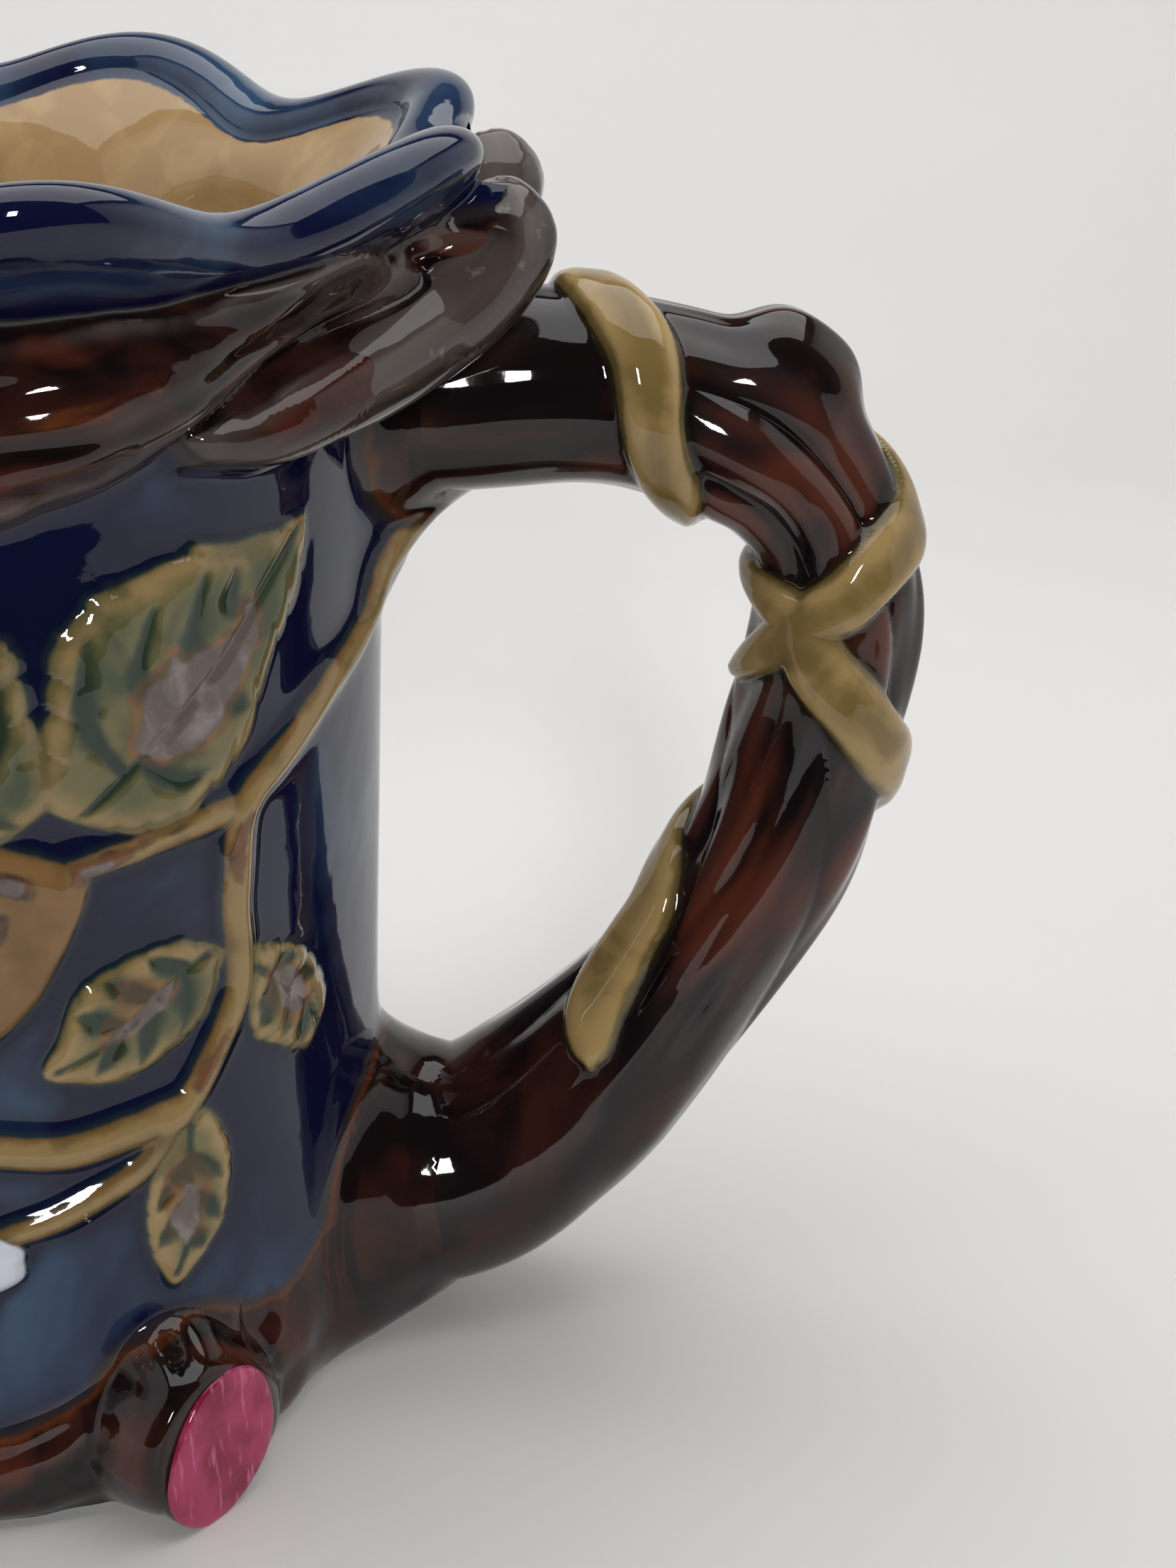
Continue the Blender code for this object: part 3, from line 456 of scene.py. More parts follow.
def root_rise(azimuth, y):
    """Height and signed distance of the root ring: a swelling whose upper edge climbs at stubs and handle."""
    turn = np.radians(azimuth)
    top = 17 + 33 * np.exp(-((azimuth / 30) ** 2)) + 1.2 * np.sin(5 * turn + 0.6)
    swell = 3.4 + 3.5 * np.exp(-((azimuth / 22) ** 2)) - 2.5 * np.exp(-(((np.abs(azimuth) - 27) / 9) ** 2))
    for place, _ in STUBS:
        top = top + 10 * np.exp(-(((azimuth - place) / 15) ** 2))
    level = (y - 0.38 * top) / (0.62 * top)
    ridges = 1 + 0.10 * np.cos(9 * level + 3 * np.sin(3 * turn)) + 0.07 * waves(MIDDLE_RADIUS * turn, y, 8, 12)
    ring = swell * ridges * rounded(1 - np.clip(level, -0.45, 2), 1, 0.05)
    rises = [ring]
    for place, lean in STUBS:
        across, up = 1.18 * MIDDLE_RADIUS * np.radians(azimuth - place), y - STUB_HEIGHT
        tilt = math.radians(STUB_LEAN * lean)
        wide = across * math.cos(tilt) + up * math.sin(tilt)
        tall = up * math.cos(tilt) - across * math.sin(tilt)
        gap = (np.hypot(wide / STUB_HALF_WIDTH, tall / STUB_HALF_HEIGHT) - 1) * 11.5
        away = np.clip(np.radians(azimuth - place - STUB_TURN * lean), -1, 1)
        face = STUB_REACH * math.cos(math.radians(STUB_TURN)) / np.cos(away) - RADIUS_LOW - 0.9
        fall = np.clip((gap - 0.4) / (14.0 - 7.5 * np.clip(up / 13, 0, 1)), 0, 1)
        rises.append(face * (1 - fall * fall * (3 - 2 * fall)) * (gap < 16))
    ring_in = top - y
    for place, _ in STUBS:
        around = np.hypot(MIDDLE_RADIUS * np.radians(azimuth - place), y - STUB_HEIGHT)
        ring_in = np.maximum(ring_in, 19.0 - around)
    hollow = 3.0 * np.exp(-((((azimuth + 43.2) / 3.4) ** 2 + ((y - 23.5) / 4.4) ** 2) ** 1.5))
    return np.maximum(merged(rises, 5) - hollow, 0), ring_in


# The joints: the wall swells in a round fillet of clay where it meets the handle and the rim knots,
# so it is shaped from the handle's path of x, z and radius, and from the knots' paths.

HANDLE_LINE = ((66, 163, 17.0), (80, 163.3, 15.8), (94, 163.8, 15.2), (106, 163.0, 14.8), (117, 160.4, 14.6),
               (127, 155.9, 14.9), (135, 149.0, 13.2), (140.4, 139.5, 12.1), (142.2, 128.0, 13.2),
               (141.2, 114.5, 13.7), (138.4, 101.3, 13.8), (133.4, 86.4, 13.8), (126.1, 72.6, 13.8),
               (117.0, 59.2, 14.7), (106.4, 46.8, 16.4), (94.4, 35.0, 18.3), (80.5, 26.0, 20.4),
               (62.0, 23.5, 22.0))
# The blunt ends of the band's branches, which lie along it and bulge over the handle's root: x, y, z and radius
KNOT_LINE = ((45, -53.5, 167.5, 0.8), (48.7, -51.0, 168.1, 2.2), (54.6, -46.9, 169.2, 4.8),
             (62.0, -39.4, 171.2, 6.2), (69.0, -29.5, 173.8, 7.8), (76.2, -20.6, 177.6, 9.1),
             (82.3, -17.0, 182.2, 9.6), (86.0, -14.6, 186.4, 9.5), (87.6, -13.6, 189.4, 8.9),
             (88.3, -13.2, 192.4, 7.5), (88.6, -13.0, 195.0, 5.2), (88.7, -12.9, 196.6, 3.0),
             (88.7, -12.9, 197.3, 1.0))
KNOTS = tuple(
    through([(x, y * side, z + rise * min(max((z - 172) / 12, 0), 1), r) for x, y, z, r in KNOT_LINE], 110)
    for side, rise in ((1, 0.0), (-1, 3.6)))


def to_branch(points, rows, limit=60.0):
    """Distance of points from a round branch given by rows of x, y, z and radius, and the way out of its axis."""
    found = np.full(points.shape[:-1], limit)
    away = np.zeros(points.shape)
    low, high = rows[:, :3].min(0) - 30, rows[:, :3].max(0) + 30
    near = np.all((points > low) & (points < high), axis=-1)
    p = points[near]
    best = np.full(len(p), 1e9)
    best_away = np.zeros(p.shape)
    for k in range(len(rows) - 1):
        start, step = rows[k, :3], rows[k + 1, :3] - rows[k, :3]
        t = np.clip((p - start) @ step / (step @ step), 0, 1)
        reach = p - start - t[:, None] * step
        length = np.linalg.norm(reach, axis=1)
        gap = length - rows[k, 3] - t * (rows[k + 1, 3] - rows[k, 3])
        nearer = gap < best
        best = np.where(nearer, gap, best)
        best_away = np.where(nearer[:, None], reach / (length[:, None] + 1e-9), best_away)
    found[near] = best
    away[near] = best_away
    return found, away


def fillet(gap, size, depth=1.0):
    """How far a wall swells at a given distance from a branch: a square that goes on inside the branch."""
    return np.clip(size - np.maximum(gap, -depth), 0, None) ** 2 / size


def outer_carving(azimuth, y, flared):
    """All the carving of the outer wall at azimuths and heights, and the zones that the glazes follow."""
    azimuth = (azimuth + 180) % 360 - 180
    x = np.radians(azimuth) * MIDDLE_RADIUS
    vine, vine_in = vine_rise(x, y)
    leaf, leaf_in, furrow = leaf_rise(x, y)
    smooth, smooth_in = smooth_leaf_rise(x, y)
    bloom, bloom_in = blossom_rise(x, y)
    band, band_in = band_rise(x, y, flared)
    root, root_in = root_rise(azimuth, y)
    climb = np.clip((y - 126) / 15, 0, 1)
    buttress = 5.0 * climb ** 2 * (3 - 2 * climb) * np.exp(-((azimuth / 10) ** 2))
    ridge = (1.8 * np.exp(-((azimuth / 13) ** 2)) + buttress) * np.clip((178 - y) / 8, 0, 1)
    total = merged([vine, leaf, smooth, bloom, root], 5) + ridge
    zones = {"vine": vine_in, "leaf": leaf_in, "furrow": furrow, "smooth": smooth_in, "bloom": bloom_in,
             "band": band_in, "root": root_in}
    return total, band, zones


# The outer wall's mesh: rows up the outside, over the lip and down inside the flare; columns are
# closer on the carved side. It is cut into a near and a far piece that share their border columns.

NEAR_COLUMNS = 262
FAR_COLUMNS = 262
azimuths = np.concatenate([np.linspace(-106, 12, NEAR_COLUMNS + 1)[:-1], np.linspace(12, 254, FAR_COLUMNS + 1)])
row_heights = np.linspace(0, RIM, 322)
lip_turns = np.radians(np.linspace(0, 180, 21)[1:-1])
inner_heights = np.linspace(RIM - 2, INNER_TOP, 20)
lip_radius = LIP_MIDDLE + LIP_HALF_WIDTH * np.cos(lip_turns)
lip_height = RIM - 1 + np.cos(lip_turns) + LIP_RISE * np.sin(lip_turns)
base_radius = np.concatenate([wall_radius(row_heights), lip_radius, inner_radius(inner_heights)])
base_height = np.concatenate([row_heights, lip_height, inner_heights])
inner_lift = ((inner_heights - INNER_TOP) / (RIM - 2 - INNER_TOP)) ** 1.2
lift = np.concatenate([flare(row_heights), np.ones(len(lip_turns)), inner_lift])
below_lip = np.clip((RIM - 3 - row_heights) / 4, 0, 1)
outside = np.concatenate([below_lip, np.zeros(len(lip_turns) + len(inner_heights))])

grid_azimuth, grid_height = np.meshgrid(azimuths, base_height)
out, up = rim_wave(grid_azimuth)
turn = np.radians(grid_azimuth)
plain = base_radius[:, None] + out * lift[:, None]
flared = np.maximum(plain - RADIUS_HIGH, 0) * (grid_height > NECK)
carving, band, zones = outer_carving(grid_azimuth, grid_height, flared)

# The band's upper edge meets the flare in a small round fillet
band = band * outside[:, None]
proud = 0.9 * np.logaddexp(0, band / 0.9) - 0.9 * math.log(2) * np.exp(-((band / 2) ** 2))
carving = np.maximum(carving * outside[:, None], np.where(grid_height > 150, np.maximum(proud, 0), 0))
radius = plain + carving


def wall_points(radius):
    """Points of the wall at its azimuths and waved heights, at the given radii."""
    height = grid_height + up * lift[:, None]
    return np.stack([radius * np.cos(turn), radius * np.sin(turn), height], axis=-1)


def softened(heights):
    """Heights smoothed by 14 passes of the mean of their four neighbours."""
    for _ in range(14):
        heights = 0.25 * (np.roll(heights, 1, 0) + np.roll(heights, -1, 0)
                          + np.roll(heights, 1, 1) + np.roll(heights, -1, 1))
    return heights


# The wall swells into fillets round the branches that meet it, and takes their facing there
plain = radius
low = grid_height < 90
handle_line = np.insert(through(HANDLE_LINE, 60), 1, 0.0, axis=1)
for branch, size in ((handle_line, np.where(low, 10.0, 7.0)), (KNOTS[0], 4.0), (KNOTS[1], 4.0)):
    swell = np.zeros(radius.shape)
    for _ in range(6):
        gap, _ = to_branch(wall_points(plain + swell), branch)
        swell = 0.5 * swell + 0.5 * fillet(gap, size)
    radius = np.maximum(radius, plain + swell * (outside[:, None] > 0))
points = wall_points(radius)
handle_gap, handle_way = to_branch(points, handle_line)
zones["handle"] = np.where(low, 8.0, 4.0) - handle_gap

# Coordinates for the bark's streaks: along the band, up the root, and along the handle close to it
pace = np.where((grid_height < 100)[..., None], (1.2, 1.2, 0.6), (0.7, 0.7, 1.3))
grain = pace * points
handle_grain = np.stack([0.45 * (points[..., 0] + points[..., 2]), 14.0 * (handle_way[..., 0] + handle_way[..., 2]),
                         14.0 * handle_way[..., 1]], axis=-1)
share = np.clip((10 - handle_gap) / 5, 0, 1)[..., None]
zones["grain"] = 0.001 * (grain * (1 - share) + handle_grain * share)
zones["brown"] = patch_inset(turn * MIDDLE_RADIUS, grid_height, BROWN_PATCHES)
zones["grey"] = patch_inset(turn * MIDDLE_RADIUS, grid_height, GREY_PATCHES)

# How far the carving stands above its surroundings, for glaze that thins on crests and pools in hollows
crest = carving - softened(carving)
crest[:3] = 0
crest[:, :2] = 0
crest[:, -2:] = 0
zones["crest"] = crest
row_number = np.arange(len(base_height))[:, None] + 0 * turn
zones["inner"] = np.where(row_number >= len(row_heights) + len(lip_turns) - 1, RIM - 2 - grid_height, -5.0)
zones["lip"] = np.clip(1 - np.abs(row_number - len(row_heights) - 9) / 14.0, 0, 1)


def surface(name, points, zones, wrap=False, cap_start=False, cap_end=False):
    """A mesh from a grid of points in millimetres, with named values at them; rows run along the first axis."""
    rows, columns = points.shape[:2]
    index = np.arange(rows * columns).reshape(rows, columns)
    right = np.roll(index, -1, 1) if wrap else index[:, 1:]
    left = index if wrap else index[:, :-1]
    quads = np.stack([left[:-1], right[:-1], right[1:], left[1:]], axis=-1).reshape(-1, 4)
    faces = quads.tolist()
    if cap_start:
        faces.append(index[0][::-1].tolist())
    if cap_end:
        faces.append(index[-1].tolist())
    mesh = bpy.data.meshes.new(name)
    mesh.from_pydata((points.reshape(-1, 3) * 0.001).tolist(), [], faces)
    for zone, values in zones.items():
        kind, field = ("FLOAT_VECTOR", "vector") if np.ndim(values) == 3 else ("FLOAT", "value")
        layer = mesh.attributes.new(zone, kind, "POINT")
        layer.data.foreach_set(field, np.ascontiguousarray(values, dtype=np.float32).ravel())
    mesh.polygons.foreach_set("use_smooth", np.ones(len(mesh.polygons), bool))
    piece = bpy.data.objects.new(name, mesh)
    bpy.context.scene.collection.objects.link(piece)
    return piece


def facing(points, wrap):
    """Unit normals of a grid of points, from the cross product of its central differences."""
    if wrap:
        ahead = np.roll(points, -1, 1) - np.roll(points, 1, 1)
    else:
        ahead = np.gradient(points, axis=1)
    normal = np.cross(ahead, np.gradient(points, axis=0))
    return normal / (np.linalg.norm(normal, axis=-1)[..., None] + 1e-12)


normals = facing(points[:, :-1], wrap=True)
normals = np.concatenate([normals, normals[:, :1]], axis=1)
for branch, reach in ((handle_line, 3.0), (KNOTS[0], 2.0), (KNOTS[1], 2.0)):
    gap, away = to_branch(points, branch)
    share = np.clip(1 - np.maximum(gap, 0) / reach, 0, 1)[..., None]
    share = share * share * (3 - 2 * share)
    normals = normals * (1 - share) + away * share
normals = normals / np.linalg.norm(normals, axis=-1)[..., None]
walls = []
parts = {"wall_near": (0, NEAR_COLUMNS), "wall_far": (NEAR_COLUMNS, NEAR_COLUMNS + FAR_COLUMNS)}
for name, (first, last) in parts.items():
    part = slice(first, last + 1)
    wall = surface(name, points[:, part], {zone: values[:, part] for zone, values in zones.items()})
    wall.data.normals_split_custom_set_from_vertices(normals[:, part].reshape(-1, 3).tolist())
    walls.append(wall)


# Glaze effects that several finishes share, as node groups.

def node(tree, kind, inputs=(), **settings):
    """A node with its settings, and each named or numbered input set to a value or linked to a socket."""
    made = tree.nodes.new(kind)
    for key, value in settings.items():
        setattr(made, key, value)
    for key, value in dict(inputs).items():
        if isinstance(value, bpy.types.NodeSocket):
            tree.links.new(value, made.inputs[key])
        else:
            made.inputs[key].default_value = value
    return made


def sum_of(tree, kind, a, b, c=0.0):
    """One arithmetic step on two or three values."""
    return node(tree, "ShaderNodeMath", {0: a, 1: b, 2: c}, operation=kind).outputs[0]


def times(tree, a, b):
    """The product of two values."""
    return sum_of(tree, "MULTIPLY", a, b)


def less(tree, a, b):
    """The first value less the second."""
    return sum_of(tree, "SUBTRACT", a, b)


def larger(tree, first, *others):
    """The greatest of several values."""
    for other in others:
        first = sum_of(tree, "MAXIMUM", first, other)
    return first


def blended(tree, mask, a, b):
    """Colour a where the mask is 0, colour b where it is 1."""
    return node(tree, "ShaderNodeMix", {0: mask, 6: a, 7: b}, data_type="RGBA").outputs[2]


def laid(tree, below, mask, strength, glaze):
    """A glaze laid over what is below it, through a mask and at a strength."""
    return blended(tree, times(tree, mask, strength), below, glaze)


def between(tree, value, low, high):
    """A value rescaled to 0 at low and 1 at high, eased and held outside them."""
    inputs = {0: value, 1: low, 2: high, 3: 0.0, 4: 1.0}
    return node(tree, "ShaderNodeMapRange", inputs, interpolation_type="SMOOTHSTEP").outputs[0]


def zone_value(tree, name):
    """A value stored at the mesh's points."""
    return node(tree, "ShaderNodeAttribute", attribute_name=name).outputs["Fac"]


def noise_at(tree, place, scale, detail=3.0, distortion=0.0):
    """Cloudy noise at a given place."""
    inputs = {"Vector": place, "Scale": scale, "Detail": detail, "Distortion": distortion}
    return node(tree, "ShaderNodeTexNoise", inputs).outputs[0]


def own_place(tree):
    """The object's own coordinates in metres."""
    return node(tree, "ShaderNodeTexCoord").outputs["Object"]


def unevenness(tree, scale, detail):
    """Cloudy noise on the object's own coordinates."""
    return noise_at(tree, own_place(tree), scale, detail)


def group(name, inputs, outputs):
    """An empty node group with named sockets, and its two end nodes."""
    tree = bpy.data.node_groups.new(name, "ShaderNodeTree")
    for socket, value in inputs.items():
        if isinstance(value, float):
            kind = "NodeSocketFloat"
        else:
            kind = "NodeSocketColor" if len(value) == 4 else "NodeSocketVector"
        made = tree.interface.new_socket(socket, in_out="INPUT", socket_type=kind)
        made.default_value = value
    for socket, kind in outputs.items():
        tree.interface.new_socket(socket, in_out="OUTPUT", socket_type=kind)
    return tree, tree.nodes.new("NodeGroupInput"), tree.nodes.new("NodeGroupOutput")


def placed(tree, effect, inputs):
    """A node group put into a material with its own values."""
    return node(tree, "ShaderNodeGroup", inputs, node_tree=effect).outputs[0]


def colour(*screen):
    """A screen colour from 0 to 255 as the light it stands for, by the sRGB curve."""
    return tuple(((c / 255 + 0.055) / 1.055) ** 2.4 if c > 10 else c / 3295 for c in screen) + (1.0,)


inputs = {"Thick": (0, 0, 0, 1), "Thin": (1, 1, 1, 1), "Crest": 0.0, "Size": 30.0}
clouded, ends, finish = group("Clouded glaze", inputs, {"Color": "NodeSocketColor"})
noise = noise_at(clouded, own_place(clouded), ends.outputs["Size"], 4.0, 0.6)
thin = between(clouded, sum_of(clouded, "MULTIPLY_ADD", ends.outputs["Crest"], 0.55, noise), 0.42, 0.72)
clouded.links.new(blended(clouded, thin, ends.outputs["Thick"], ends.outputs["Thin"]), finish.inputs[0])

inputs = {"Distance": 0.0, "From": -0.4, "To": 0.4, "Wobble": 0.6}
uneven, ends, finish = group("Uneven edge", inputs, {"Mask": "NodeSocketFloat"})
noise = less(uneven, unevenness(uneven, 260, 3), 0.5)
edge = sum_of(uneven, "MULTIPLY_ADD", noise, ends.outputs["Wobble"], ends.outputs["Distance"])
uneven.links.new(between(uneven, edge, ends.outputs["From"], ends.outputs["To"]), finish.inputs[0])

ripple, ends, finish = group("Glaze ripple", {"Depth": 1.0}, {"Normal": "NodeSocketVector"})
height = sum_of(ripple, "MULTIPLY_ADD", unevenness(ripple, 420, 2), 0.035, unevenness(ripple, 55, 2))
height = times(ripple, height, ends.outputs["Depth"])
bump = node(ripple, "ShaderNodeBump", {"Height": height, "Distance": 0.001, "Strength": 0.35})
ripple.links.new(bump.outputs[0], finish.inputs[0])

inputs = {"Place": (0.0, 0.0, 0.0), "Crest": 0.0, "Grey": 0.0}
bark, ends, finish = group("Bark glaze", inputs, {"Color": "NodeSocketColor"})
place, bark_crest, greyed = (ends.outputs[name] for name in ("Place", "Crest", "Grey"))
mottle = noise_at(bark, place, 90, 5, 0.8)
patches = noise_at(bark, place, 45, 3, 0.4)
base = blended(bark, between(bark, mottle, 0.44, 0.70), colour(21, 13, 14), colour(56, 28, 22))
warm = between(bark, sum_of(bark, "MULTIPLY_ADD", bark_crest, 0.28, patches), 0.53, 0.74)
base = blended(bark, warm, base, colour(88, 42, 28))
amber = between(bark, sum_of(bark, "MULTIPLY_ADD", bark_crest, 0.40, mottle), 0.78, 0.98)
base = blended(bark, times(bark, amber, less(bark, 1.0, greyed)), base, colour(158, 92, 38))
# The grey veil: greyed thin glaze near the band's edges; where it lies in full, on the rim knots, it is partly
# painted grey sheen.
veil = noise_at(bark, place, 60, 4, 0.5)
veil = between(bark, sum_of(bark, "MULTIPLY_ADD", bark_crest, 0.35, veil), 0.40, 0.66)
veil_colour = blended(bark, mottle, colour(46, 36, 36), colour(112, 102, 96))
bark.links.new(blended(bark, times(bark, veil, greyed), base, veil_colour), finish.inputs[0])


def clouds(tree, thick, thin, crest, size):
    """The clouded glaze between two screen colours, thick and thin."""
    return placed(tree, clouded, {"Thick": colour(*thick), "Thin": colour(*thin), "Crest": crest, "Size": size})


def edged(tree, distance, start, end, wobble):
    """A mask that goes from 0 to 1 between two signed distances, with an uneven edge."""
    return placed(tree, uneven, {"Distance": distance, "From": start, "To": end, "Wobble": wobble})


def finished(name, roughness, build):
    """A material with one roughness all over and its colour from the given nodes."""
    material = bpy.data.materials.new(name)
    material.use_nodes = True
    tree = material.node_tree
    shader = tree.nodes["Principled BSDF"]
    shader.inputs["Roughness"].default_value = roughness
    tree.links.new(build(tree), shader.inputs["Base Color"])
    return material


def glazed(name, build):
    """A glossy glaze: a hard polished surface with the glaze's ripple."""
    material = finished(name, 0.04, build)
    tree = material.node_tree
    tree.links.new(placed(tree, ripple, {"Depth": 1.0}), tree.nodes["Principled BSDF"].inputs["Normal"])
    return material


COBALT = (15, 20, 54)
TEAL = (52, 78, 106)
BUFF = ((168, 137, 96), (187, 158, 113), 0.0, 90.0)


def bark_at(tree, crest, grey):
    """The bark glaze at the mesh's own grain coordinates."""
    grain = node(tree, "ShaderNodeAttribute", attribute_name="grain").outputs["Vector"]
    return placed(tree, bark, {"Place": grain, "Crest": crest, "Grey": grey})


def wall_colour(tree):
    """Cobalt with the carving's own glazes laid over it, each with an uneven, bled edge."""
    names = ("crest", "leaf", "vine", "smooth", "band", "root", "handle")
    crest, leaf_in, vine_in, smooth_in, band_in, root_in, handle_in = (zone_value(tree, name) for name in names)
    any_leaf = larger(tree, leaf_in, vine_in, smooth_in)
    low_in = larger(tree, root_in, handle_in)
    wood_in = larger(tree, band_in, low_in)

    # Cobalt, thinner on the lip, pooled dark round the leaves and bled green at their edges
    result = clouds(tree, COBALT, TEAL, crest, 24.0)
    lip = between(tree, zone_value(tree, "lip"), 0.80, 1.0)
    result = laid(tree, result, lip, 0.12, colour(74, 92, 128))
    pool = edged(tree, any_leaf, -8.0, -0.6, 4.0)
    result = laid(tree, result, pool, 0.45, colour(13, 17, 42))
    halo = edged(tree, any_leaf, -1.4, 0.1, 1.6)
    result = laid(tree, result, halo, 0.8, colour(36, 50, 52))

    # Leaves: olive with tan margins, green in the veins, broken to umber and turned grey in patches
    olive = clouds(tree, (70, 80, 56), (122, 114, 76), crest, 70.0)
    tan = clouds(tree, (118, 106, 68), (166, 140, 96), crest, 70.0)
    margin = edged(tree, leaf_in, 4.6, 1.2, 3.2)
    leaf = edged(tree, leaf_in, -0.3, 0.5, 0.6)
    result = blended(tree, leaf, result, blended(tree, margin, olive, tan))
    noise = less(tree, unevenness(tree, 240, 3), 0.5)
    veins = sum_of(tree, "MULTIPLY_ADD", noise, 0.7, zone_value(tree, "furrow"))
    result = blended(tree, times(tree, between(tree, veins, 0.12, 0.85), leaf), result, colour(46, 60, 48))
    brown = edged(tree, zone_value(tree, "brown"), -0.2, 0.9, 3.0)
    brown = times(tree, brown, between(tree, any_leaf, -0.3, 0.5))
    result = laid(tree, result, brown, 0.62, clouds(tree, (92, 66, 40), (150, 100, 58), crest, 180.0))
    grey = edged(tree, zone_value(tree, "grey"), -0.3, 0.7, 2.2)
    mould = clouds(tree, (108, 96, 90), (148, 137, 134), 0.0, 200.0)
    result = blended(tree, times(tree, grey, between(tree, any_leaf, 0.0, 0.6)), result, mould)

    # Vine and blossom: tan with orange edges, and opaque white
    vine = edged(tree, larger(tree, vine_in, smooth_in), -0.3, 0.5, 0.6)
    vine = times(tree, vine, less(tree, 1.0, larger(tree, grey, brown)))
    result = blended(tree, vine, result, clouds(tree, (112, 98, 60), (158, 132, 88), crest, 90.0))
    orange_edge = times(tree, edged(tree, vine_in, 1.3, 0.2, 2.6), vine)
    result = laid(tree, result, orange_edge, 0.55, colour(132, 84, 46))
    bloom = edged(tree, zone_value(tree, "bloom"), -0.5, 0.3, 0.4)
    result = blended(tree, bloom, result, colour(222, 226, 236))

    # Band and root: bark glaze that bleeds into the cobalt, grey near the band's edges, amber near the root's
    fringe = edged(tree, wood_in, -2.2, -0.3, 1.8)
    result = laid(tree, result, fringe, 0.85, colour(52, 44, 40))
    wood = edged(tree, wood_in, -0.2, 0.6, 1.2)
    near_edge = times(tree, between(tree, band_in, 0.0, 1.0), between(tree, band_in, 6.0, 1.5))
    low_crest = sum_of(tree, "MINIMUM", crest, 0.35)
    result = blended(tree, wood, result, bark_at(tree, low_crest, near_edge))
    amber = times(tree, edged(tree, low_in, 1.6, 0.4, 2.4), wood)
    amber = times(tree, amber, between(tree, low_in, -3.0, -0.2))
    result = laid(tree, result, amber, 0.55, colour(112, 60, 30))

    inner = edged(tree, zone_value(tree, "inner"), 0.9, 1.3, 0.9)
    return blended(tree, inner, result, clouds(tree, *BUFF))


wall_glaze = glazed("Cobalt, tan and brown glaze", wall_colour)
for wall in walls:
    wall.data.materials.append(wall_glaze)
    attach(wall, "root")
    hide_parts("pitcher")

# The inside: buff earthenware under clear glaze, from the wall's last ring in the neck down to the
# rounded corner and the flat floor, cast in one with the wall.

FLOOR = 7.0
CORNER = 10.0
ROUND_FROM = FLOOR + CORNER
corner = np.radians(np.linspace(0, 90, 9)[1:])
side_heights = np.linspace(INNER_TOP, ROUND_FROM, 60)
inside_heights = np.concatenate([side_heights, FLOOR + CORNER * (1 - np.sin(corner)), [FLOOR, FLOOR, FLOOR]])
corner_radii = inner_radius(ROUND_FROM) - CORNER + CORNER * np.cos(corner)
inside_radii = np.concatenate([inner_radius(side_heights), corner_radii, [30.0, 12.0, 0.5]])
inside_turn = turn[:1, :-1]
inside_points = np.stack([inside_radii[:, None] * np.cos(inside_turn), inside_radii[:, None] * np.sin(inside_turn),
                          inside_heights[:, None] + 0 * inside_turn], axis=-1)
inside = surface("inside", inside_points, {}, wrap=True, cap_end=True)
inside_normals = facing(inside_points, wrap=True)
inside_normals[0] = normals[-1, :-1]
inside.data.normals_split_custom_set_from_vertices(inside_normals.reshape(-1, 3).tolist())


def buff_colour(tree):
    """Buff clay with darker specks under clear glaze."""
    specks = between(tree, unevenness(tree, 1500, 2), 0.66, 0.74)
    return laid(tree, clouds(tree, *BUFF), specks, 0.4, colour(130, 102, 70))


inside.data.materials.append(glazed("Clear glaze on buff clay", buff_colour))
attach(inside, "root")
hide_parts("pitcher")

# The handle: a lopped branch of clay bent from neck to foot, one with the wall at both ends, with
# bark ridges in brown glaze and two flat tan vines wound round it.

VINE_WRAPS = (
    ((0.120, -170), (0.132, -120), (0.142, -60), (0.152, -9), (0.164, 20), (0.184, 51), (0.194, 75),
     (0.203, 99), (0.222, 123), (0.250, 147), (0.285, 182), (0.318, 225), (0.350, 275), (0.385, 325),
     (0.414, 366), (0.427, 411), (0.439, 435), (0.452, 453), (0.462, 468), (0.479, 486), (0.505, 512),
     (0.540, 550)),
    ((0.415, 235), (0.430, 185), (0.461, 135), (0.482, 121), (0.508, 105), (0.531, 81), (0.556, 54),
     (0.578, 18), (0.600, -20), (0.625, -70), (0.655, -120), (0.690, -170), (0.718, -196), (0.746, -204),
     (0.776, -213), (0.801, -225), (0.824, -246)),
)
HANDLE_ROWS = 470
HANDLE_SIDES = 150
GRIP = 14.0
STRAP_HALF_WIDTH = 5.7
STRAP_RISE = 2.9
handle_path = through(HANDLE_LINE, HANDLE_ROWS)
handle_length = np.sum(np.hypot(*np.diff(handle_path[:, :2], axis=0).T))
sides = np.linspace(-math.pi, math.pi, HANDLE_SIDES + 1)[:-1]
part, around = np.meshgrid(np.linspace(0, 1, HANDLE_ROWS), sides, indexing="ij")


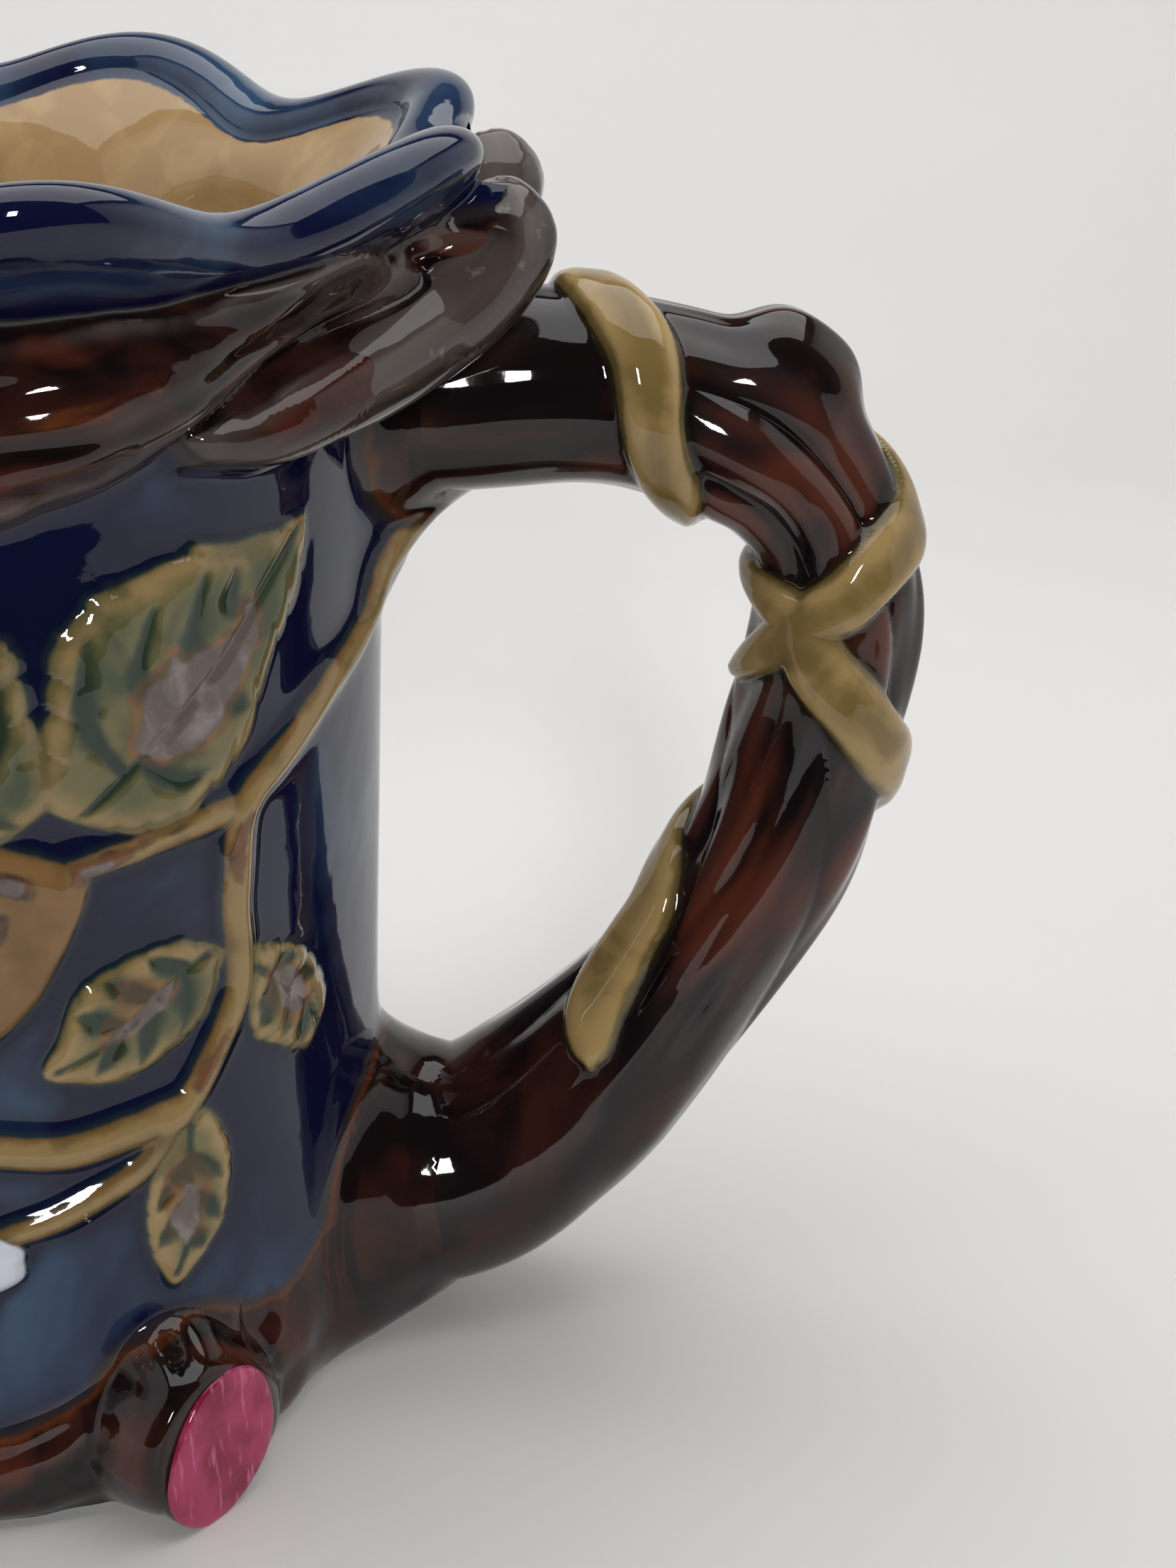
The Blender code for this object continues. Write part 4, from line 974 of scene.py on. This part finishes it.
def handle_rise(part, around):
    """Twisted strands of wood with narrow grooves between them, one knot, and the two vines as flat straps."""
    along = part * handle_length
    twist = 2.5 * around + 7 * part + 0.9 * np.sin(10 * part) + 0.5 * np.sin(2 * around + 9 * part)
    strands = np.abs(np.cos(twist)) ** 0.7
    fine = 0.22 * np.cos(9 * around + 7 * np.sin(6 * part) + 3)
    fine = fine + 0.12 * np.cos(17 * around - 11 * part + 2 * np.sin(3 * around))
    wander = 0.5 * np.cos(3 * around + 2.2 * np.sin(11 * part) + 5 * part)
    bend = 1 / (1 + np.exp((0.21 - part) / 0.012))
    lower = np.cos(4 * around + 3 * np.sin(7 * part) + 2 * np.sin(2 * around + 12 * part))
    lower = 0.5 * np.clip((part - 0.42) / 0.08, 0, 1) * lower
    heave = 0.55 + 1.6 * np.exp(-(((part - 0.33) / 0.12) ** 2)) + 0.35 * np.clip((part - 0.75) * 6, 0, 1)
    knot = 5.0 * np.exp(-(((part - 0.298) / 0.040) ** 4) - (around / 0.70) ** 2)
    ends = np.clip((part - 0.07) / 0.06, 0, 1) * np.clip((0.90 - part) / 0.06, 0, 1)
    swelling = 0.3 * np.exp(-(((part - 0.10) / 0.03) ** 2))
    bark = 1.5 * bend * heave * (strands - 0.6) + fine * (0.3 + 0.7 * bend) + wander * (0.4 + 0.6 * bend) + lower
    total = ends * bark + knot + swelling
    rise = np.zeros(part.shape)
    inset = np.full(part.shape, -99.0)
    for wrap in VINE_WRAPS:
        line = through(wrap, 90)
        taper = STRAP_HALF_WIDTH * (1.02 - np.abs(np.linspace(-1, 1, len(line))) ** 8)[:, None] ** 0.5
        for shift in (-2 * math.pi, 0, 2 * math.pi):
            path = np.column_stack([line[:, 0] * handle_length, (np.radians(line[:, 1]) + shift) * GRIP])
            gap, (reach,) = path_distance(along, around * GRIP, path, taper)
            rise = np.maximum(rise, rounded(reach - gap, 4.2, 0.3))
            inset = np.maximum(inset, reach - gap)
    weight = np.clip(rise * 1.6, 0, 1)
    return total * (1 - weight) + (rise * STRAP_RISE + 0.35 * wander + 0.2) * weight, inset


rise, vine_inset = handle_rise(part, around)
direction = np.gradient(handle_path[:, :2], axis=0)
direction = direction / np.linalg.norm(direction, axis=1)[:, None]
outward = np.column_stack([-direction[:, 1], direction[:, 0]])


def branch_points(radius):
    """Points round the branch: its path plus the radius, outward in its plane and towards -Y."""
    reach = radius * np.cos(around)
    return np.stack([handle_path[:, :1] + reach * outward[:, :1], -radius * np.sin(around),
                     handle_path[:, 1:2] + reach * outward[:, 1:]], axis=-1)


handle_points = branch_points(handle_path[:, 2:3] + rise)
handle_points[..., 2] = np.maximum(handle_points[..., 2], 0.05)
handle_crest = rise - softened(rise)
handle_crest[:4] = 0
handle_crest[-4:] = 0
grain = 0.001 * np.stack([0.45 * part * handle_length, GRIP * np.cos(around), GRIP * np.sin(around)], axis=-1)
handle_zones = {"vine": vine_inset[:, ::-1], "crest": handle_crest[:, ::-1], "grain": grain[:, ::-1]}
handle = surface("handle", handle_points[:, ::-1], handle_zones, wrap=True, cap_start=True, cap_end=True)


def branch_colour(tree):
    """Brown bark glaze with tan vines that bleed amber at their edges."""
    crest = zone_value(tree, "crest")
    vine_in = zone_value(tree, "vine")
    result = laid(tree, bark_at(tree, crest, 0.1), edged(tree, vine_in, -1.4, 0.0, 1.8), 0.7, colour(44, 40, 24))
    vine = edged(tree, vine_in, -0.2, 0.5, 0.5)
    result = blended(tree, vine, result, clouds(tree, (128, 106, 62), (172, 144, 94), crest, 70.0))
    edge = times(tree, edged(tree, vine_in, 1.4, 0.2, 2.2), vine)
    return laid(tree, result, edge, 0.6, colour(84, 76, 42))


handle.data.materials.append(glazed("Brown glaze with tan vines", branch_colour))
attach(handle, "root")
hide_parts("pitcher")


# The rim knots: the blunt upper ends of the band's branches, modelled with it in greyed brown glaze,
# which bulge over the handle's root on both sides; their grey is partly greyed glaze and partly painted grey sheen.

def tube(name, rows, sides, seed):
    """A closed, slightly lumpy branch along rows of x, y, z and radius, with a frame carried along its path."""
    ahead = np.gradient(rows[:, :3], axis=0)
    ahead = ahead / np.linalg.norm(ahead, axis=1)[:, None]
    side = np.cross(ahead, np.cross((0.75, 0.66 * np.sign(rows[0, 1]), 0.0), ahead))
    side = side / np.linalg.norm(side, axis=1)[:, None]
    up = np.cross(side, ahead)
    turns = np.linspace(0, 2 * math.pi, sides + 1)[:-1]
    along = np.linspace(0, 1, len(rows))[:, None]
    lumps = np.cos(3 * turns + 6 * along + seed) + 0.6 * np.cos(7 * turns - 5 * along)
    lumps = lumps + 0.8 * np.sin(14 * along + seed)
    ring = np.cos(turns)[:, None] * side[:, None] + np.sin(turns)[:, None] * up[:, None]
    points = rows[:, None, :3] + (rows[:, 3:4] * (1 + 0.03 * lumps))[..., None] * ring
    grain = 0.001 * np.stack([16 * along + 0 * turns, 9 * np.cos(turns) + 0 * along,
                              9 * np.sin(turns) + 0 * along], axis=-1)
    return surface(name, points, {"grain": grain}, wrap=True, cap_start=True, cap_end=True)


def knot_colour_and_sheen(tree):
    """Bark glaze greyed all over, with pale flecks: partly greyed glaze, partly painted grey sheen of reflected
    light.
    """
    # The grey veil at full strength and the pale flecks stand partly for a painted grey sheen of reflected light.
    flecks_and_sheen = between(tree, unevenness(tree, 260, 4), 0.60, 0.72)
    return laid(tree, bark_at(tree, 0.35, 1.0), flecks_and_sheen, 0.45, colour(150, 144, 138))


knot_glaze_and_sheen = glazed("Greyed brown glaze and painted sheen", knot_colour_and_sheen)
for name, knot_line in zip(("rim_knot_near", "rim_knot_far"), KNOTS):
    knot = tube(name, knot_line, 64, knot_line[0, 1])
    knot.data.materials.append(knot_glaze_and_sheen)
    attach(knot, "root")
    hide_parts("pitcher")

# The lopped stubs: short branch ends of clay set round the foot, in brown glaze, with oval cut
# faces brushed with pink enamel over the glaze.


def pink_colour(tree):
    """Carmine enamel in brush strokes, thin enough in places to show pale."""
    brushed = {"Vector": own_place(tree), "Rotation": (0.0, 0.5, 0.0), "Scale": (900.0, 900.0, 140.0)}
    strokes = noise_at(tree, node(tree, "ShaderNodeMapping", brushed).outputs[0], 1.0)
    blot = unevenness(tree, 120, 3)
    base = blended(tree, between(tree, blot, 0.35, 0.65), colour(138, 32, 64), colour(178, 58, 100))
    pale = blended(tree, between(tree, strokes, 0.55, 0.70), base, colour(196, 96, 132))
    cut = edged(tree, zone_value(tree, "cut"), -0.2, 0.3, 0.5)
    return blended(tree, cut, colour(34, 18, 16), pale)


pink_glaze = glazed("Pink enamel on brown glaze", pink_colour)
for n, (place, lean) in enumerate(STUBS):
    middle = math.radians(place)
    heading = middle + math.radians(STUB_TURN * lean)
    out = np.array((math.cos(heading), math.sin(heading), 0.0))
    aside = np.array((-math.sin(heading), math.cos(heading), 0.0))
    tilt = math.radians(STUB_LEAN * lean)
    tall = np.array((0.0, 0.0, 1.0)) * math.cos(tilt) + aside * math.sin(tilt)
    wide = np.cross(tall, out)
    end = np.array((STUB_REACH * math.cos(middle), STUB_REACH * math.sin(middle), STUB_HEIGHT))
    turns = np.linspace(0, 2 * math.pi, 97)[:-1]
    profile = [(1.0, -13.0), (1.0, -1.2), (0.995, -0.6), (0.975, -0.2), (0.94, 0.0)]
    profile += [(share, 0.0) for share in (0.85, 0.7, 0.5, 0.3, 0.1)]
    scale, depth = np.array(profile).T
    wave = 1 + 0.02 * np.cos(3 * turns + n) + 0.012 * np.cos(5 * turns)
    oval = STUB_HALF_WIDTH * np.cos(turns)[:, None] * wide + STUB_HALF_HEIGHT * np.sin(turns)[:, None] * tall
    stub_points = end + scale[:, None, None] * wave[None, :, None] * oval + depth[:, None, None] * out
    stub_points[..., 2] = np.maximum(stub_points[..., 2], 0.05)
    cut = np.repeat((depth + 0.9)[:, None] * 4, len(turns), axis=1)
    stub = surface(f"stub_{n + 1}", stub_points, {"cut": cut}, wrap=True, cap_start=True, cap_end=True)
    stub.data.materials.append(pink_glaze)
    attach(stub, "root")
    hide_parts("pitcher")

# The underside: the flat bottom of the casting, wiped clean of glaze to bare buff clay, which
# stands on the table.

foot_reach = np.array([1.0, 0.97, 0.9, 0.6, 0.3, 0.02])[:, None] * radius[0, :-1]
foot_turn = np.radians(azimuths[:-1])
foot_points = np.stack([foot_reach * np.cos(foot_turn), foot_reach * np.sin(foot_turn), 0 * foot_reach], axis=-1)
foot = surface("underside", foot_points[:, ::-1], {}, wrap=True, cap_end=True)


def clay_colour(tree):
    """Bare clay with specks and faint stains."""
    base = clouds(tree, (150, 124, 90), (190, 166, 130), 0.0, 60.0)
    return blended(tree, between(tree, unevenness(tree, 900, 3), 0.62, 0.75), base, colour(120, 92, 62))


foot.data.materials.append(finished("Bare buff clay", 0.85, clay_colour))
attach(foot, "root")
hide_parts("pitcher")

# The photographer's table: white card that sweeps up behind, white side panels, two soft lamps
# and the camera.

LEFT, RIGHT, FRONT, BACK, TOP = -450.0, 750.0, -310.0, 850.0, 800.0
SWEEP = 300.0
bend = np.radians(np.linspace(8, 90, 12))
sweep_y = np.concatenate([[FRONT, BACK - SWEEP], BACK - SWEEP + SWEEP * np.sin(bend), [BACK]])
sweep_z = np.concatenate([[0.0, 0.0], SWEEP - SWEEP * np.cos(bend), [TOP]])
card_points = np.array([[(x, y, z) for x in (LEFT, RIGHT)] for y, z in zip(sweep_y, sweep_z)])
left_points, right_points = (np.array([[(x, FRONT, z), (x, BACK, z)] for z in (0.0, TOP)]) for x in (LEFT, RIGHT))


def paper_colour(tree):
    """White paper, faintly uneven."""
    return blended(tree, unevenness(tree, 6, 2), (0.80, 0.79, 0.775, 1.0), (0.84, 0.835, 0.82, 1.0))


paper = finished("White card", 0.55, paper_colour)
sheets = {"card": card_points[:, ::-1], "left_panel": left_points, "right_panel": right_points[:, ::-1]}
for name, grid in sheets.items():
    sheet = surface(name, grid, {})
    sheet.data.materials.append(paper)
    # The side panels show in reflections alone, so that they hide nothing from another angle
    sheet.visible_camera = name == "card"


def lamp(name, place, aim, width, height, power):
    """A soft rectangular lamp that faces a point."""
    light = bpy.data.lights.new(name, "AREA")
    light.shape = "RECTANGLE"
    light.size = width
    light.size_y = height
    light.energy = power
    thing = bpy.data.objects.new(name, light)
    thing.location = place
    thing.rotation_euler = (Vector(aim) - Vector(place)).to_track_quat("-Z", "Y").to_euler()
    bpy.context.scene.collection.objects.link(thing)


lamp("diffuser", (0.12, 0.16, 0.80), (0.12, 0.16, 0.0), 1.00, 0.90, 5.4)
lamp("flood", (0.17, -1.40, 0.75), (0.05, 0.0, 0.10), 0.15, 0.42, 9.0)

world = bpy.data.worlds.new("Room")
world.use_nodes = True
world.node_tree.nodes["Background"].inputs["Color"].default_value = (0.80, 0.88, 1.0, 1.0)
world.node_tree.nodes["Background"].inputs["Strength"].default_value = 0.03
bpy.context.scene.world = world
bpy.context.scene.view_settings.view_transform = "Standard"

view = bpy.data.cameras.new("photograph")
view.sensor_width = 36.0
view.lens = 54.11
view.clip_start = 0.01
camera = bpy.data.objects.new("photograph", view)
pitch, swing = math.radians(22.4), math.radians(4.0)
ahead = Vector((math.sin(swing) * math.cos(pitch), math.cos(swing) * math.cos(pitch), -math.sin(pitch)))
facing_ahead = ahead.to_track_quat("-Z", "Y").to_matrix().to_4x4()
camera.matrix_world = Matrix.Translation((0.0766, -0.3622, 0.246)) @ facing_ahead
bpy.context.scene.collection.objects.link(camera)
bpy.context.scene.camera = camera
